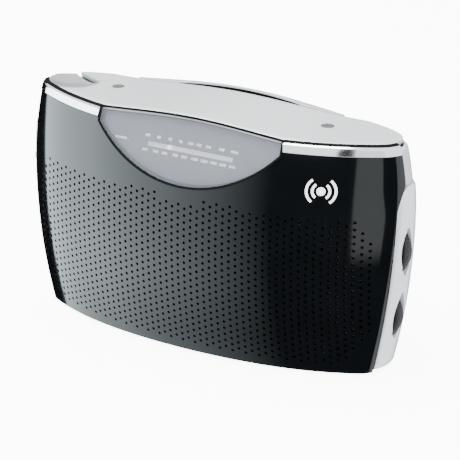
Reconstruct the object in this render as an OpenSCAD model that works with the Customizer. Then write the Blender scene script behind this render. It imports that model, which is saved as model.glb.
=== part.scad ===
// Portable table radio with an integral carrying grip, thumbwheel controls in the
// right-hand side, a slide-rule dial and a telescopic aerial folded along the back.
// Origin: centre of the footprint, on the surface the feet stand on. +X right, +Y rear, +Z up.

/* [Case] */
// Widest half width of the case
case_half_w = 128; // [120:1:140]
// Height at which the case is widest
widest_z = 100; // [90:1:110]
// Loss of half width towards the base, per 100 mm of height squared
low_taper = 12.3; // [8:0.1:14]
// Loss of half width towards the top, per 100 mm of height squared
high_taper = 31; // [20:1:36]
// Depth from the widest line of the plan to the foremost point of the front
front_depth = 39.7; // [36:0.1:42]
// Depth from the widest line of the plan to the back of the case
rear_depth = 39.3; // [36:0.1:42]
// Height of the underside of the case floor
floor_z = 1.5; // [1:0.1:2.5]
// Thickness of the moulded walls
wall = 2.4; // [1.8:0.1:3]

/* [Front and top] */
// Height of the lower edge of the chrome bands
band_z = 136.2; // [134:0.1:138]
// Height of the rim of the top plate
rim_z = 142.6; // [141:0.1:145]
// Rise of the middle of the top plate above its rim
crown = 3.4; // [1:0.1:4]
// Radius of the arc under the dial window
window_r = 84; // [80:1:90]
// Height of the lowest point of the dial window
window_z = 106.5; // [104:0.5:110]
// Tilt of the dial window, as depth per unit of height
window_slope = 0.366; // [0.3:0.01:0.42]

/* [Controls] */
// Radius of the thumbwheels
wheel_r = 17; // [15:0.5:18]
// Thickness of the thumbwheels
wheel_t = 6; // [5:0.5:7]
// Height of the tuning wheel's axle
tuning_z = 78; // [76:1:80]
// Height of the volume wheel's axle
volume_z = 37; // [36:1:39]
// Radial running clearance of shafts
run = 0.05; // [0.02:0.01:0.1]

/* [Aerial] */
// Outer radius of the largest aerial tube
tube_r = 3; // [2.8:0.1:3.5]
// Length of the folded aerial
aerial_l = 186; // [170:1:195]
// Height of the folded aerial
aerial_z = 127; // [124:1:130]

/* [Hidden] */

gap = 0.3;
aerial_y = 43.2;
turret_r = 5;
aerial_back = aerial_y + turret_r;
y_shift = (front_depth - aerial_back) / 2;
face_share = 0.93;
corner_lean = 0.65;
corner_y = 8;
rear_power = 2.3;
bow_2 = 21.9;
bow_4 = 13.4;
pillow = 10.5;
pillow_z = 66.5;
pillow_h = 84;
edge_inset = 3;
plate_half_w = half_w(rim_z) - edge_inset;
chord_y = 31.2;
chord_half_w = 69;
slit_half_w = 42;
slit_w = 3.8;
trim_top = 118;
trim_step = 3.2;
trim_end_angle = 44;
corner_turn = 60;
cover_turn = 15;
window_half_w = 62;
gang_x = case_half_w + 2.5 - wheel_r;
volume_x = gang_x - 4.3;
wheel_y = 0.5;
door_half_w = 53;
door_low = 8;
door_high = 66;
tray_back = 29;
speaker_z = 55;
speaker_r = 44;
aerial_x = -98;
scale_z = 126.7;
scale_left = -28.4;
scale_l = 58.4;
led_x = -40.5;
well_half_w = 58;
well_low = 97;
well_high = 121;
well_depth = 24;

// Half width of the case at height z: a parabola above and below its widest height.
function half_w(z) =
    case_half_w - (z < widest_z ? low_taper : high_taper) * pow((z - widest_z) / 100, 2);

// Depth of the back of the case at height z.
function rear_b(z) = rear_depth - 4 * pow((z - widest_z) / 100, 2);

// Front surface: a bow across the width plus a pillow over the height.
function front_y(x, z) =
    -front_depth + bow_2 * pow(x / 128, 2) + bow_4 * pow(x / 128, 4)
    + pillow * pow((z - pillow_z) / pillow_h, 2);

// Outline of the front half at height z. |s| up to 1 runs over the face and from 1 to 2
// round the corner, as a quadratic curve that ends square on the widest line, at corner_y.
function front_point(s, z) =
    let (w = half_w(z), a = face_share * w, u = abs(s), side = s < 0 ? -1 : 1, t = u - 1,
         ya = front_y(a, z), yc = ya + corner_lean * (w - a))
    u <= 1 ? [s * a, front_y(s * a, z), z]
           : [side * (a + (w - a) * (2 * t - t * t)),
              ya * pow(1 - t, 2) + 2 * t * (1 - t) * yc + corner_y * t * t, z];

// Outline of the rear half: a superellipse from the right (0) over the back to the left (180).
function rear_point(a, z) =
    let (c = cos(a), s = sin(a))
    [half_w(z) * (c < 0 ? -1 : 1) * pow(abs(c), 2 / rear_power),
     corner_y + (rear_b(z) - corner_y) * pow(max(s, 0), 2 / rear_power), z];

// A point moved d outwards, square to the outline's chord from before to after.
function moved_out(p, before, after, d) =
    let (t = after - before, n = norm([t.x, t.y])) [p.x + d * t.y / n, p.y - d * t.x / n, p.z];
function front_out(s, z, d) =
    moved_out(front_point(s, z), front_point(max(s - 0.02, -2), z), front_point(min(s + 0.02, 2), z), d);
function rear_out(a, z, d) =
    moved_out(rear_point(a, z), rear_point(max(a - 0.5, 0), z), rear_point(min(a + 0.5, 180), z), d);

// Outline run on past the widest line: a below 0 and above 180 turns round the front corners.
function round_out(a, z, d) =
    a < 0 ? front_out(2 + a / corner_turn, z, d)
    : a > 180 ? front_out(-2 + (a - 180) / corner_turn, z, d) : rear_out(a, z, d);

// One side of the case as a single run: v from -1 (on the front corner) through 0 (the widest
// line) to 1 (round the back, at trim_end_angle).
function side_out(v, z, d) =
    v < 0 ? front_out(2 + v, z, d) : rear_out(max(v * trim_end_angle, 0.6), z, d);

function crown_z(x) = rim_z + crown * pow(cos(min(abs(x) / 84, 1) * 90), 2);
function window_y(z) = -front_depth + 2.4 + window_slope * (z - window_z);
function window_arc_z(x) = window_z + window_r - sqrt(pow(window_r, 2) - pow(min(abs(x), window_half_w), 2));
function grid_step(n) = [for (i = [0:n]) i / n];

// Closed solid between two grids of points with the same rows and columns. The outer grid
// is seen from outside with rows going up and columns going right.
module between(outer, inner) {
    rows = len(outer);
    cols = len(outer[0]);
    all_rows = [for (g = [outer, inner]) for (r = g) for (p = r) p];
    back = rows * cols;
    function at(r, c) = r * cols + c;
    skin = [for (r = [0:rows - 2]) for (c = [0:cols - 2])
            for (f = [[at(r, c), at(r + 1, c), at(r + 1, c + 1)],
                      [at(r, c), at(r + 1, c + 1), at(r, c + 1)]]) f];
    edge = concat([for (c = [0:cols - 1]) at(0, c)], [for (r = [1:rows - 1]) at(r, cols - 1)],
                  [for (c = [cols - 2:-1:0]) at(rows - 1, c)],
                  rows > 2 ? [for (r = [rows - 2:-1:1]) at(r, 0)] : []);
    n = len(edge);
    rim = [for (i = [0:n - 1]) let (a = edge[i], b = edge[(i + 1) % n])
           for (f = [[a, b, b + back], [a, b + back, a + back]]) f];
    polyhedron(points = all_rows,
               faces = concat(skin, [for (f = skin) [f[2] + back, f[1] + back, f[0] + back]], rim),
               convexity = 8);
}

module along_y(x, y, z) { translate([x, y, z]) rotate([-90, 0, 0]) children(); }
module along_x(x, y, z) { translate([x, y, z]) rotate([0, 90, 0]) children(); }
module block(low, high) { translate(low) cube(high - low); }
module ring(r_out, r_in, h) {
    difference() {
        cylinder(r = r_out, h = h, $fn = 64);
        translate([0, 0, -1]) cylinder(r = r_in, h = h + 2, $fn = 64);
    }
}

// ---- Front, window and top ---------------------------------------------------------------

// How far the face may reach round the corner at height z before the side trim begins.
function panel_reach(z) = 1 + 0.36 + 0.36 * pow(min(max((z - 101) / 17, 0), 1), 1.5);

module front_panel() {
    columns = concat([for (i = [0:3]) -2 + i / 4], [for (i = [0:28]) -1 + i / 14],
                     [for (i = [1:4]) 1 + i / 4]);
    function reach(s, z) = abs(s) <= 1 ? s : (s < 0 ? -1 : 1) * (1 + (abs(s) - 1) * (panel_reach(z) - 1));
    function top_at(s) = abs(s) > 0.51 ? band_z - gap
        : min(band_z - gap, window_arc_z(s * face_share * half_w(window_z + 10)) - gap);
    function row(t, d, drop) = [for (s = columns)
        let (z = floor_z + t * (top_at(s) - drop - floor_z)) front_out(reach(s, z), z, d)];
    color([0.03, 0.035, 0.04])
    between([for (t = grid_step(14)) row(t, 0, 0)], [for (t = grid_step(14)) row(t, -wall, 1)]);
}

module chrome_band(side) {
    start = 0.545;
    columns = [for (t = grid_step(12)) start + t * (1.73 - start)];
    profile = [[band_z, 0], [band_z + 0.4, 0.5], [band_z + 5, 0.5], [rim_z - 0.3, -edge_inset + 0.7]];
    ordered = side > 0 ? columns : [for (i = [len(columns) - 1:-1:0]) -columns[i]];
    function inner_z(z) = z > rim_z - 1 ? z - 1 : z;
    color([0.88, 0.88, 0.9])
    between([for (p = profile) [for (s = ordered) front_out(s, p[0], p[1])]],
            [for (p = profile) [for (s = ordered) front_out(s, inner_z(p[0]), -edge_inset + 0.35)]]);
}

// The lens and the scale are flat outlines in the plane of the window: x across and v up it.
window_angle = atan(window_slope);
function up_plane(z) = (z - window_z) / cos(window_angle);
module on_window(depth) {
    translate([0, window_y(window_z), window_z]) rotate([90 - window_angle, 0, 0])
        translate([0, 0, -depth]) children();
}
module window_outline(inset) {
    half = window_half_w - inset;
    steps = [for (t = grid_step(24)) -half + 2 * half * t];
    polygon(concat([for (x = steps) [x, up_plane(window_arc_z(x) + inset)]],
                   [for (i = [len(steps) - 1:-1:0]) [steps[i], up_plane(crown_z(steps[i]) - 0.5 - inset)]]));
}
module dial_lens() color([0.55, 0.56, 0.6, 0.6])
    on_window(1.8) linear_extrude(1.8) window_outline(0.4);
// The scale is a thin plate with a slot, behind which the pointer runs on a flat rail.
slot_v = up_plane(scale_z);
module dial_scale() color([0.6, 0.61, 0.65])
    difference() {
        on_window(4.4) linear_extrude(1) window_outline(2.5);
        on_window(6) translate([scale_left, slot_v - 1.4, 0]) cube([scale_l, 2.8, 4]);
        on_window(6) translate([led_x, slot_v, 0]) cylinder(r = 1.7, h = 4, $fn = 32);
    }
module power_led() color([0.5, 0.1, 0.1])
    on_window(8.5) translate([led_x, slot_v, 0]) {
        cylinder(r = 1.5, h = 5.1, $fn = 32);
        translate([0, 0, -1]) cylinder(r = 2.2, h = 1, $fn = 32);
    }
pointer_x = scale_left + 0.255 * scale_l;
module pointer_rail() color([0.8, 0.8, 0.82])
    on_window(6) translate([scale_left - 6, slot_v - 3, 0]) cube([scale_l + 12, 6, 0.8]);
module dial_pointer() color([0.95, 0.95, 0.95])
    difference() {
        on_window(7.2) translate([pointer_x - 1.2, slot_v, 0]) {
            translate([0, -5, 0]) cube([2.4, 10, 2.7]);
            translate([0.3, -1, 2.6]) cube([1.8, 2, 1]);
        }
        on_window(6.1) translate([pointer_x - 3, slot_v - 3.1, 0]) cube([6, 6.2, 1]);
    }

// Cord from the drum round two fixed posts, with its upper run behind the pointer.
post_y = window_y(scale_z) + 9.6;
cord_r = 0.35;
post_reach = 18;
drum_r = 9.2;
drum_y = -3.9;
post_left = [scale_left - post_reach, post_y, scale_z];
post_right = [scale_left + scale_l + post_reach, post_y, scale_z];
module cord_run(a, b) {
    d = b - a;
    translate(a) rotate([0, acos(d.z / norm(d)), atan2(d.y, d.x)])
        cylinder(r = cord_r, h = norm(d), $fn = 16);
}
module dial_cord() color([0.85, 0.82, 0.7]) {
    clear_of_post = cord_r + 2.7;
    clear_of_drum = drum_r + cord_r + 0.4;
    cord_run(post_left + [0, 0, clear_of_post], post_right + [0, 0, clear_of_post]);
    cord_run(post_left - [0, 0, clear_of_post], [gang_x - 6, drum_y + 1.5, tuning_z - clear_of_drum]);
    cord_run(post_right + [clear_of_post, 0, -1], [gang_x - 1, drum_y + 1.5, tuning_z + clear_of_drum]);
}
module cord_posts() color([0.75, 0.75, 0.77])
    for (p = [post_left, post_right])
        along_y(p.x, post_y - 1.6, p.z) {
            cylinder(r = 2.6, h = 3.2, $fn = 32);
            translate([0, 0, 3.2]) cylinder(r = 1.5, h = 6, $fn = 32);
        }

// The top plate's rim: straight along the window, then inside the case outline at the front
// and corners, and a superellipse at the back that is cut straight where the grip begins.
function rim_front(s) = let (p = front_out(s, rim_z, -edge_inset))
    abs(p.x) < window_half_w ? [p.x, window_y(crown_z(p.x)) + 2.4] : [p.x, p.y];
function back_curve_y(x) = let (share = min(abs(x) / (plate_half_w + 0.6), 1))
    corner_y + (rear_b(rim_z) - corner_y) * pow(1 - pow(share, rear_power), 1 / rear_power);
function rim_back(a) = let (x = plate_half_w * (cos(a) < 0 ? -1 : 1) * pow(abs(cos(a)), 2 / rear_power))
    [x, min(chord_y - 0.15, back_curve_y(x))];
module top_plate() {
    count = 40;
    function row(t, drop, inset) = [for (i = [0:count])
        let (s = i / count * 3.92 - 1.96, front = rim_front(s), back = rim_back(177 - 174 * i / count),
             p = front + t * (back - front), n = norm(p), q = p * (n - inset) / n)
        [q.x, q.y, crown_z(q.x) - drop]];
    color([0.83, 0.84, 0.85]) difference() {
        between([row(0, 1.2, 0), row(0.02, 0.2, 0.3), row(0.5, 0, 0), row(0.98, 0.2, 0.3), row(1, 1.2, 0)],
                [for (t = [0, 0.02, 0.5, 0.98, 1]) row(t, 3, 0.4)]);
        for (x = [-72, 72]) translate([x, 10.3, 130]) cylinder(r = 4, h = 20, $fn = 48);
        recess_cut();
    }
}
// Corner of the plate and the case taken by the aerial's recess.
module recess_cut()
    translate([-101, 34, rim_z - 3.5]) rotate([0, 0, -26]) cube([44, 30, 12], center = true);
module aerial_recess_tray() color([0.66, 0.68, 0.67])
    difference() {
        intersection() {
            translate([-101, 34, rim_z - 5]) rotate([0, 0, -26]) cube([43.2, 29.2, 5], center = true);
            linear_extrude(200) plan(2.6, rim_z - 4);
        }
        translate([-98, 34, 0]) cube([18, 14, 400], center = true);
    }
module handle_screw_plugs() color([0.62, 0.63, 0.64])
    for (x = [-72, 72]) translate([x, 10.3, crown_z(72) - 3]) cylinder(r = 4 - gap / 3, h = 2.8, $fn = 48);
module handle_grip_bar() {
    half = chord_half_w + 2 - gap;
    columns = [for (t = grid_step(24)) half * (2 * t - 1)];
    low = well_high + 3;
    function slit(x) = abs(x) < slit_half_w ? slit_w * pow(cos(90 * x / slit_half_w), 0.7) : 0;
    function point(x, t, z) =
        let (f = chord_y + gap + slit(x), b = max(back_curve_y(x), f + 1.6)) [x, f + t * (b - f), z];
    function top(x) = crown_z(x) + 0.5 - 0.9 * pow(x / half, 4);
    color([0.58, 0.6, 0.61])
        between([[for (x = columns) point(x, 0, low)], [for (x = columns) point(x, 0, top(x) - 0.8)],
                 [for (x = columns) point(x, 0.12, top(x))]],
                [[for (x = columns) point(x, 1, low)], [for (x = columns) point(x, 1, top(x) - 2.5)],
                 [for (x = columns) point(x, 0.8, top(x) - 0.2)]]);
}

// Plan outline of the case at height z, moved d inwards.
module plan(d, z)
    polygon(concat([for (i = [0:40]) let (s = -2 + i / 10, p = front_out(s, z, -d)) [p.x, p.y]],
                   [for (a = [6:6:174]) let (p = rear_out(a, z, -d)) [p.x, p.y]]));

// ---- Rear cover, grip and sides -----------------------------------------------------------

// The cover's outer face steps in behind the side trims.
function under_trim(a, z) = z > trim_top ? 0
    : trim_step * (1 - min(max((min(a, 180 - a) - trim_end_angle) / 8, 0), 1));
module rear_cover() {
    angles = concat([-cover_turn, -7.5], [for (i = [0:36]) 5 * i], [187.5, 180 + cover_turn]);
    heights = [floor_z + 2.4, 20, 40, 60, 80, 100, trim_top - gap, trim_top + gap, 128, rim_z - 3.4];
    function inner_z(i) = heights[i] - (i == 7 || i == 8 ? 2.6 : 0);
    color([0.8, 0.81, 0.82]) difference() {
        between([for (z = heights) [for (a = angles) round_out(a, z, -0.2 - under_trim(a, z))]],
                [for (i = [0:9]) [for (a = angles)
                    round_out(a, inner_z(i), -0.2 - wall - under_trim(a, heights[i]))]]);
        block([-well_half_w - 2.3, 20, well_low - 2.3], [well_half_w + 2.3, 60, well_high + 2.3]);
        block([-chord_half_w - 2, chord_y - 0.2, well_high + 2.2], [chord_half_w + 2, 60, 150]);
        block([-door_half_w - 0.5, tray_back + 0.4, 0], [door_half_w + 0.5, 60, door_high + 0.5]);
        recess_cut();
        block([-109.5, 20, aerial_z - 8.5], [-84.5, 60, 150]);
        for (z = [tuning_z, volume_z]) block([100, -3, z - 17.6], [140, wheel_y + wheel_t + 0.8, z + 17.6]);
        block([-140, -3, 84], [-100, 9, 104]);
        block([-140, -1, 44], [-100, 12.5, 56]);
        block([-80.3, 20, 12.2], [-55.7, 60, 28.8]);
    }
}
screw_places = [for (x = [-78, 78], y = [-4, 9]) [x, y, floor_z]];
module base_plate() color([0.15, 0.15, 0.16])
    difference() {
        translate([0, 0, floor_z]) linear_extrude(2.2) plan(wall + 0.5, floor_z);
        for (p = screw_places) translate(p) translate([0, 0, -1]) cylinder(r = 1.5 + run, h = 10, $fn = 32);
    }
module hand_well() color([0.35, 0.36, 0.38])
    difference() {
        intersection() {
            block([-well_half_w - 2, 36 - well_depth - 2, well_low - 2],
                  [well_half_w + 2, 50, well_high + 2]);
            linear_extrude(200) plan(0.3, well_low);
        }
        block([-well_half_w, 36 - well_depth, well_low], [well_half_w, 60, well_high]);
    }

// Bulged insert along one side: rounded at its top front corner, thin at its front edge.
module side_trim(side) {
    rows = grid_step(16);
    cols = grid_step(18);
    low = 3;
    function top_v(v) = trim_top - gap - 14 * pow(max(-v, 0) / 0.62, 3) - 0.8 * max(v, 0);
    start_v = -0.6;
    function bulge(v) = 1.3 * pow(sin(90 * min((v + 0.6) / 0.5, 1)), 0.8);
    function point(c, t, d) = let (v = start_v + c * (1 - start_v), z = low + t * (top_v(v) - low))
        side_out(v, z, d);
    function skin(c) = bulge(start_v + c * (1 - start_v));
    function wall_in(c) = c < 0.375 ? -0.4 - 1.6 * c / 0.375 : -trim_step + 0.5;
    mirror([side > 0 ? 0 : 1, 0, 0])
        between([for (t = rows) [for (c = cols) point(c, t, skin(c) * (c > 0.96 ? 0 : 1))]],
                [for (t = rows) [for (c = cols) point(c, t, wall_in(c))]]);
}
// Pointed oval that a thumbwheel stands through, drawn in the plane of the wheel's width.
module wheel_opening(z) {
    r = 30;
    half = 15;
    translate([100, wheel_y + wheel_t / 2, z]) rotate([90, 0, 90])
        linear_extrude(60) intersection() {
            translate([-sqrt(r * r - half * half) + 0.6, 0]) circle(r = r, $fn = 96);
            translate([sqrt(r * r - half * half) - 0.6, 0]) circle(r = r, $fn = 96);
        }
}
module side_trim_right() color([0.9, 0.9, 0.91])
    difference() {
        side_trim(1);
        wheel_opening(tuning_z);
        wheel_opening(volume_z);
        for (p = [[gang_x, tuning_z], [volume_x, volume_z]]) along_y(p.x, wheel_y - gap, p.y)
            cylinder(r = wheel_r + 0.5, h = wheel_t + 2 * gap, $fn = 96);
    }
module side_trim_left() color([0.9, 0.9, 0.91])
    difference() {
        side_trim(-1);
        block([-140, 2, 86], [-110, 8, 102]);
        along_x(-140, 6, 50) cylinder(r = 4.1, h = 40, $fn = 48);
    }

// ---- Controls -----------------------------------------------------------------------------

// Knurled wheel: a ring of fine teeth, bored for its shaft, with a raised hub.
module thumbwheel(x, z, shaft_r) {
    teeth = 72;
    along_y(x, wheel_y, z) difference() {
        union() {
            linear_extrude(wheel_t) polygon([for (i = [0:2 * teeth - 1])
                let (a = 180 * i / teeth, r = wheel_r - (i % 2) * 0.7) [r * cos(a), r * sin(a)]]);
        }
        translate([0, 0, -5]) cylinder(r = shaft_r, h = 30, $fn = 48);
        translate([0, 0, -1]) ring(wheel_r - 3, 7, 2);
    }
}
module tuning_wheel() color([0.06, 0.06, 0.06]) thumbwheel(gang_x, tuning_z, 3);
module tuning_shaft() color([0.72, 0.72, 0.74])
    along_y(gang_x, drum_y - 0.4, tuning_z) cylinder(r = 3, h = 17.5, $fn = 48);
module cord_drum() color([0.85, 0.85, 0.8])
    along_y(gang_x, drum_y, tuning_z)
        rotate_extrude($fn = 96) polygon([[3, 0], [drum_r, 0], [drum_r - 1.2, 1], [drum_r - 1.2, 2],
            [drum_r, 3], [3, 3]]);
module tuning_gang() color([0.9, 0.88, 0.8])
    difference() {
        block([gang_x - 20, wheel_y + wheel_t + 0.8, tuning_z - 13], [gang_x + 3.8, 14.2, tuning_z + 13]);
        along_y(gang_x, 0, tuning_z) cylinder(r = 3 + run, h = 13.4, $fn = 48);
    }
module volume_wheel() color([0.06, 0.06, 0.06]) {
    thumbwheel(volume_x, volume_z, 3);
    along_y(volume_x, wheel_y - 0.6, volume_z) cylinder(r = 3, h = 12, $fn = 48);
}
module volume_control() color([0.45, 0.36, 0.22])
    difference() {
        block([volume_x - 14, wheel_y + wheel_t + 0.8, volume_z - 9], [volume_x + 3.8, 13.2, volume_z + 9]);
        along_y(volume_x, 0, volume_z) cylinder(r = 3 + run, h = 12.2, $fn = 48);
    }
module band_switch_knob() color([0.1, 0.1, 0.1])
    block([-case_half_w - 2.5, 2.5, 88], [-119, 7.5, 92]);
module band_switch_body() color([0.7, 0.7, 0.72])
    difference() {
        block([-118.6, -1, 83], [-110, 11, 105]);
        block([-122, 2, 85], [-116, 8, 104]);
    }
module headphone_socket() color([0.12, 0.12, 0.12])
    along_x(-126.6, 6, 50) difference() {
        union() {
            cylinder(r = 3.9, h = 6, $fn = 48);
            translate([0, 0, 6]) cylinder(r = 5.5, h = 9, $fn = 48);
        }
        translate([0, 0, -1]) cylinder(r = 1.8, h = 14, $fn = 48);
    }
module mains_inlet() color([0.1, 0.1, 0.1])
    difference() {
        block([-80, 14, 12.5], [-56, 31, 28.5]);
        translate([-68, 40, 20.5]) rotate([90, 0, 0]) linear_extrude(22) {
            hull() for (x = [-4.3, 4.3]) translate([x, 0]) circle(r = 4.6, $fn = 32);
        }
    }
module mains_inlet_pins() color([0.75, 0.75, 0.76])
    for (x = [-4.3, 4.3]) along_y(-68 + x, 18, 20.5) cylinder(r = 1.2, h = 9, $fn = 32);

// ---- Inside -------------------------------------------------------------------------------

speaker_front = -31.5;
module speaker_basket() color([0.2, 0.2, 0.22])
    along_y(0, speaker_front, speaker_z) difference() {
        rotate_extrude($fn = 96) polygon([
            [speaker_r - 4, 0], [speaker_r, 0], [speaker_r, 2], [speaker_r - 4, 2.5],
            [22, 15], [22, 16.5], [8, 16.5], [8, 15.2], [20.5, 15.2], [speaker_r - 5.5, 1.6]]);
        for (a = [0:60:300]) rotate([0, 0, a]) translate([27, -5, 1]) cube([9, 10, 13]);
    }
module speaker_cone() color([0.12, 0.11, 0.1])
    along_y(0, speaker_front, speaker_z)
        rotate_extrude($fn = 96) polygon([[0, 9.4], [7, 8.6], [10, 11.6], [20, 8.2], [speaker_r - 8, 1.9],
            [speaker_r - 6.6, 0.6], [speaker_r - 5.2, 0.6], [speaker_r - 5.2, 1.1], [speaker_r - 6.4, 1.2],
            [speaker_r - 7.4, 2.5], [20, 9.1], [7.4, 13.6], [7.4, 14.6], [6.6, 14.6], [6.6, 10], [0, 10]]);
module speaker_magnet() color([0.45, 0.45, 0.47])
    along_y(0, speaker_front + 16.8, speaker_z) {
        cylinder(r = 18, h = 9, $fn = 96);
        translate([0, 0, -3.6]) cylinder(r = 5.6, h = 3.7, $fn = 64);
    }
module circuit_board() color([0.1, 0.35, 0.16]) block([50, -13, 14], [86, -11.4, 100]);
module board_components() color([0.2, 0.2, 0.2]) {
    for (p = [[58, 30], [70, 44], [58, 62]]) along_y(p.x, -11.4, p.y) cylinder(r = 4, h = 9, $fn = 32);
    block([64, -11.4, 68], [78, -8, 75]);
    block([54, -11.4, 90.5], [62, -3, 97]);
    block([72, -11.4, 20], [81, -5, 29]);
}
module ferrite_rod() color([0.25, 0.24, 0.23])
    along_x(-106, -3, 112) cylinder(r = 4.5, h = 88, $fn = 48);
module ferrite_coil() color([0.75, 0.42, 0.18])
    along_x(-92, -3, 112) ring(5.7, 4.5, 26);
module mains_transformer() color([0.55, 0.5, 0.42]) {
    block([-102, -8, 10.6], [-68, 12, 42]);
    block([-97, -13.8, 15], [-73, -8, 37]);
}
tray_low = door_low + 1;
tray_high = door_high - 1;
module battery_tray() color([0.3, 0.31, 0.33])
    difference() {
        block([-door_half_w + 0.5, -2, tray_low], [door_half_w - 0.5, tray_back, tray_high]);
        block([-door_half_w + 2.5, 0, tray_low + 2], [door_half_w - 2.5, tray_back + 1, tray_high - 2]);
    }
module battery_springs() color([0.78, 0.78, 0.8])
    for (z = [23, 51], side = [-1, 1])
        translate([side * (door_half_w - 2.5), 14, z]) rotate([0, -90 * side, 0])
            for (k = [0:2]) translate([0, 0, k * 1.3]) ring(6 - k, 4.6 - k, 1.3);

// The door follows the back of the case and turns on a pin along its lower edge.
hinge_y = 34.2;
hinge_z = door_low + 1.2;
module battery_door() {
    rows = grid_step(6);
    cols = grid_step(16);
    function back_y(x, z) =
        corner_y + (rear_b(z) - corner_y) * pow(1 - pow(abs(x) / half_w(z), rear_power), 1 / rear_power);
    function at(c, t, inset) =
        let (z = door_low + 3 + t * (door_high - door_low - 3), x = door_half_w * (1 - 2 * c))
        [x, back_y(x, z) - 0.2 - inset, z];
    color([0.78, 0.79, 0.8]) difference() {
        union() {
            between([for (t = rows) [for (c = cols) at(c, t, 0)]],
                    [for (t = rows) [for (c = cols) at(c, t, 2)]]);
            for (x = [-30, 30]) {
                along_x(x - 5, hinge_y - 1.4, hinge_z + 0.6) cylinder(r = 1.9, h = 10, $fn = 32);
                block([x - 5, hinge_y - 2.4, hinge_z + 0.6], [x + 5, hinge_y - 0.4, hinge_z + 4]);
            }
        }
        along_x(-60, hinge_y - 1.4, hinge_z + 0.6) cylinder(r = 0.8 + run, h = 120, $fn = 32);
    }
}
module battery_door_hinge_pin() color([0.7, 0.7, 0.72])
    along_x(-door_half_w - 0.4, hinge_y - 1.4, hinge_z + 0.6)
        cylinder(r = 0.8, h = 2 * door_half_w + 0.8, $fn = 32);
module feet() color([0.08, 0.08, 0.08])
    for (x = [-78, 78], y = [-15, 20]) translate([x, y, 0]) cylinder(r = 5, h = floor_z, $fn = 48);
module case_screws() color([0.7, 0.7, 0.72])
    for (p = screw_places) translate(p + [0, 0, 0.3]) difference() {
        cylinder(r = 1.5, h = 8, $fn = 32);
        block([-1.2, -0.25, -1], [1.2, 0.25, 0.6]);
        block([-0.25, -1.2, -1], [0.25, 1.2, 0.6]);
    }

// ---- Aerial --------------------------------------------------------------------------------

module aerial_bracket() color([0.5, 0.51, 0.52])
    difference() {
        union() {
            block([-109, 18, aerial_z - 8], [-85, aerial_y, aerial_z - 5]);
            translate([aerial_x, aerial_y, aerial_z - 8]) cylinder(r = turret_r, h = 3, $fn = 64);
            block([-109, 18, aerial_z - 5], [-85, 21, aerial_z + 6]);
        }
        translate([aerial_x, aerial_y, 0]) cylinder(r = 2 + run, h = 300, $fn = 48);
    }
module aerial_swivel() color([0.85, 0.85, 0.87])
    difference() {
        union() {
            translate([aerial_x, aerial_y, aerial_z - 4.9]) cylinder(r = 4.6, h = 8.4, $fn = 64);
            translate([aerial_x, aerial_y, aerial_z - 10.2]) cylinder(r = 2, h = 5.4, $fn = 48);
        }
        block([aerial_x - 6, aerial_y - 1.6, aerial_z - 4.2], [aerial_x + 6, aerial_y + 1.6, aerial_z + 5]);
        along_y(aerial_x, 0, aerial_z) cylinder(r = 1 + run, h = 100, $fn = 32);
    }
module aerial_hinge_pin() color([0.7, 0.7, 0.72])
    along_y(aerial_x, aerial_y - 4.4, aerial_z) cylinder(r = 1 + run, h = 8.8, $fn = 32);
module aerial_tube_1() color([0.86, 0.86, 0.88])
    difference() {
        union() {
            along_x(aerial_x + 6, aerial_y, aerial_z) difference() {
                cylinder(r = tube_r, h = aerial_l - 6, $fn = 64);
                translate([0, 0, 1]) cylinder(r = tube_r - 0.4, h = aerial_l, $fn = 64);
            }
            block([aerial_x - 2.4, aerial_y - 1.4, aerial_z - 1.6],
                  [aerial_x + 6.5, aerial_y + 1.4, aerial_z + 1.6]);
        }
        along_y(aerial_x, 0, aerial_z) cylinder(r = 1 + 2 * run, h = 100, $fn = 32);
    }
module aerial_section(n, solid) {
    r = tube_r - 0.45 * n;
    start = aerial_x + 7.2 + 1.5 * n;
    along_x(start, aerial_y, aerial_z) difference() {
        cylinder(r = r, h = aerial_x + aerial_l + 0.8 * n - start, $fn = 64);
        if (!solid) translate([0, 0, 1.2]) cylinder(r = r - 0.4, h = aerial_l, $fn = 64);
    }
}
module aerial_tube_2() color([0.88, 0.88, 0.9]) aerial_section(1, false);
module aerial_tube_3() color([0.9, 0.9, 0.92]) aerial_section(2, false);
module aerial_tube_4() color([0.92, 0.92, 0.94]) aerial_section(3, true);
module aerial_tip() color([0.86, 0.86, 0.88])
    along_x(aerial_x + aerial_l + 2.4, aerial_y, aerial_z) rotate_extrude($fn = 64)
        polygon(concat([[0, 0], [2.9, 0], [2.9, 3]],
                       [for (a = [15:15:75]) [2.9 * cos(a), 3 + 1.6 * sin(a)]], [[0, 4.6]]));

module in_place() { translate([0, y_shift, 0]) children(); }

in_place() front_panel();
in_place() chrome_band(1);  // chrome_band_right
in_place() chrome_band(-1);  // chrome_band_left
in_place() dial_lens();
in_place() dial_scale();
in_place() dial_pointer();
in_place() pointer_rail();
in_place() dial_cord();
in_place() cord_posts();
in_place() power_led();
in_place() top_plate();
in_place() handle_screw_plugs();
in_place() handle_grip_bar();
in_place() aerial_recess_tray();
in_place() rear_cover();
in_place() base_plate();
in_place() hand_well();
in_place() side_trim_right();
in_place() side_trim_left();
in_place() tuning_wheel();
in_place() tuning_shaft();
in_place() cord_drum();
in_place() tuning_gang();
in_place() volume_wheel();
in_place() volume_control();
in_place() band_switch_knob();
in_place() band_switch_body();
in_place() headphone_socket();
in_place() mains_inlet();
in_place() mains_inlet_pins();
in_place() speaker_basket();
in_place() speaker_cone();
in_place() speaker_magnet();
in_place() circuit_board();
in_place() board_components();
in_place() ferrite_rod();
in_place() ferrite_coil();
in_place() mains_transformer();
in_place() battery_tray();
in_place() battery_springs();
in_place() battery_door();
in_place() battery_door_hinge_pin();
in_place() feet();
in_place() case_screws();
in_place() aerial_bracket();
in_place() aerial_swivel();
in_place() aerial_hinge_pin();
in_place() aerial_tube_1();
in_place() aerial_tube_2();
in_place() aerial_tube_3();
in_place() aerial_tube_4();
in_place() aerial_tip();
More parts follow.
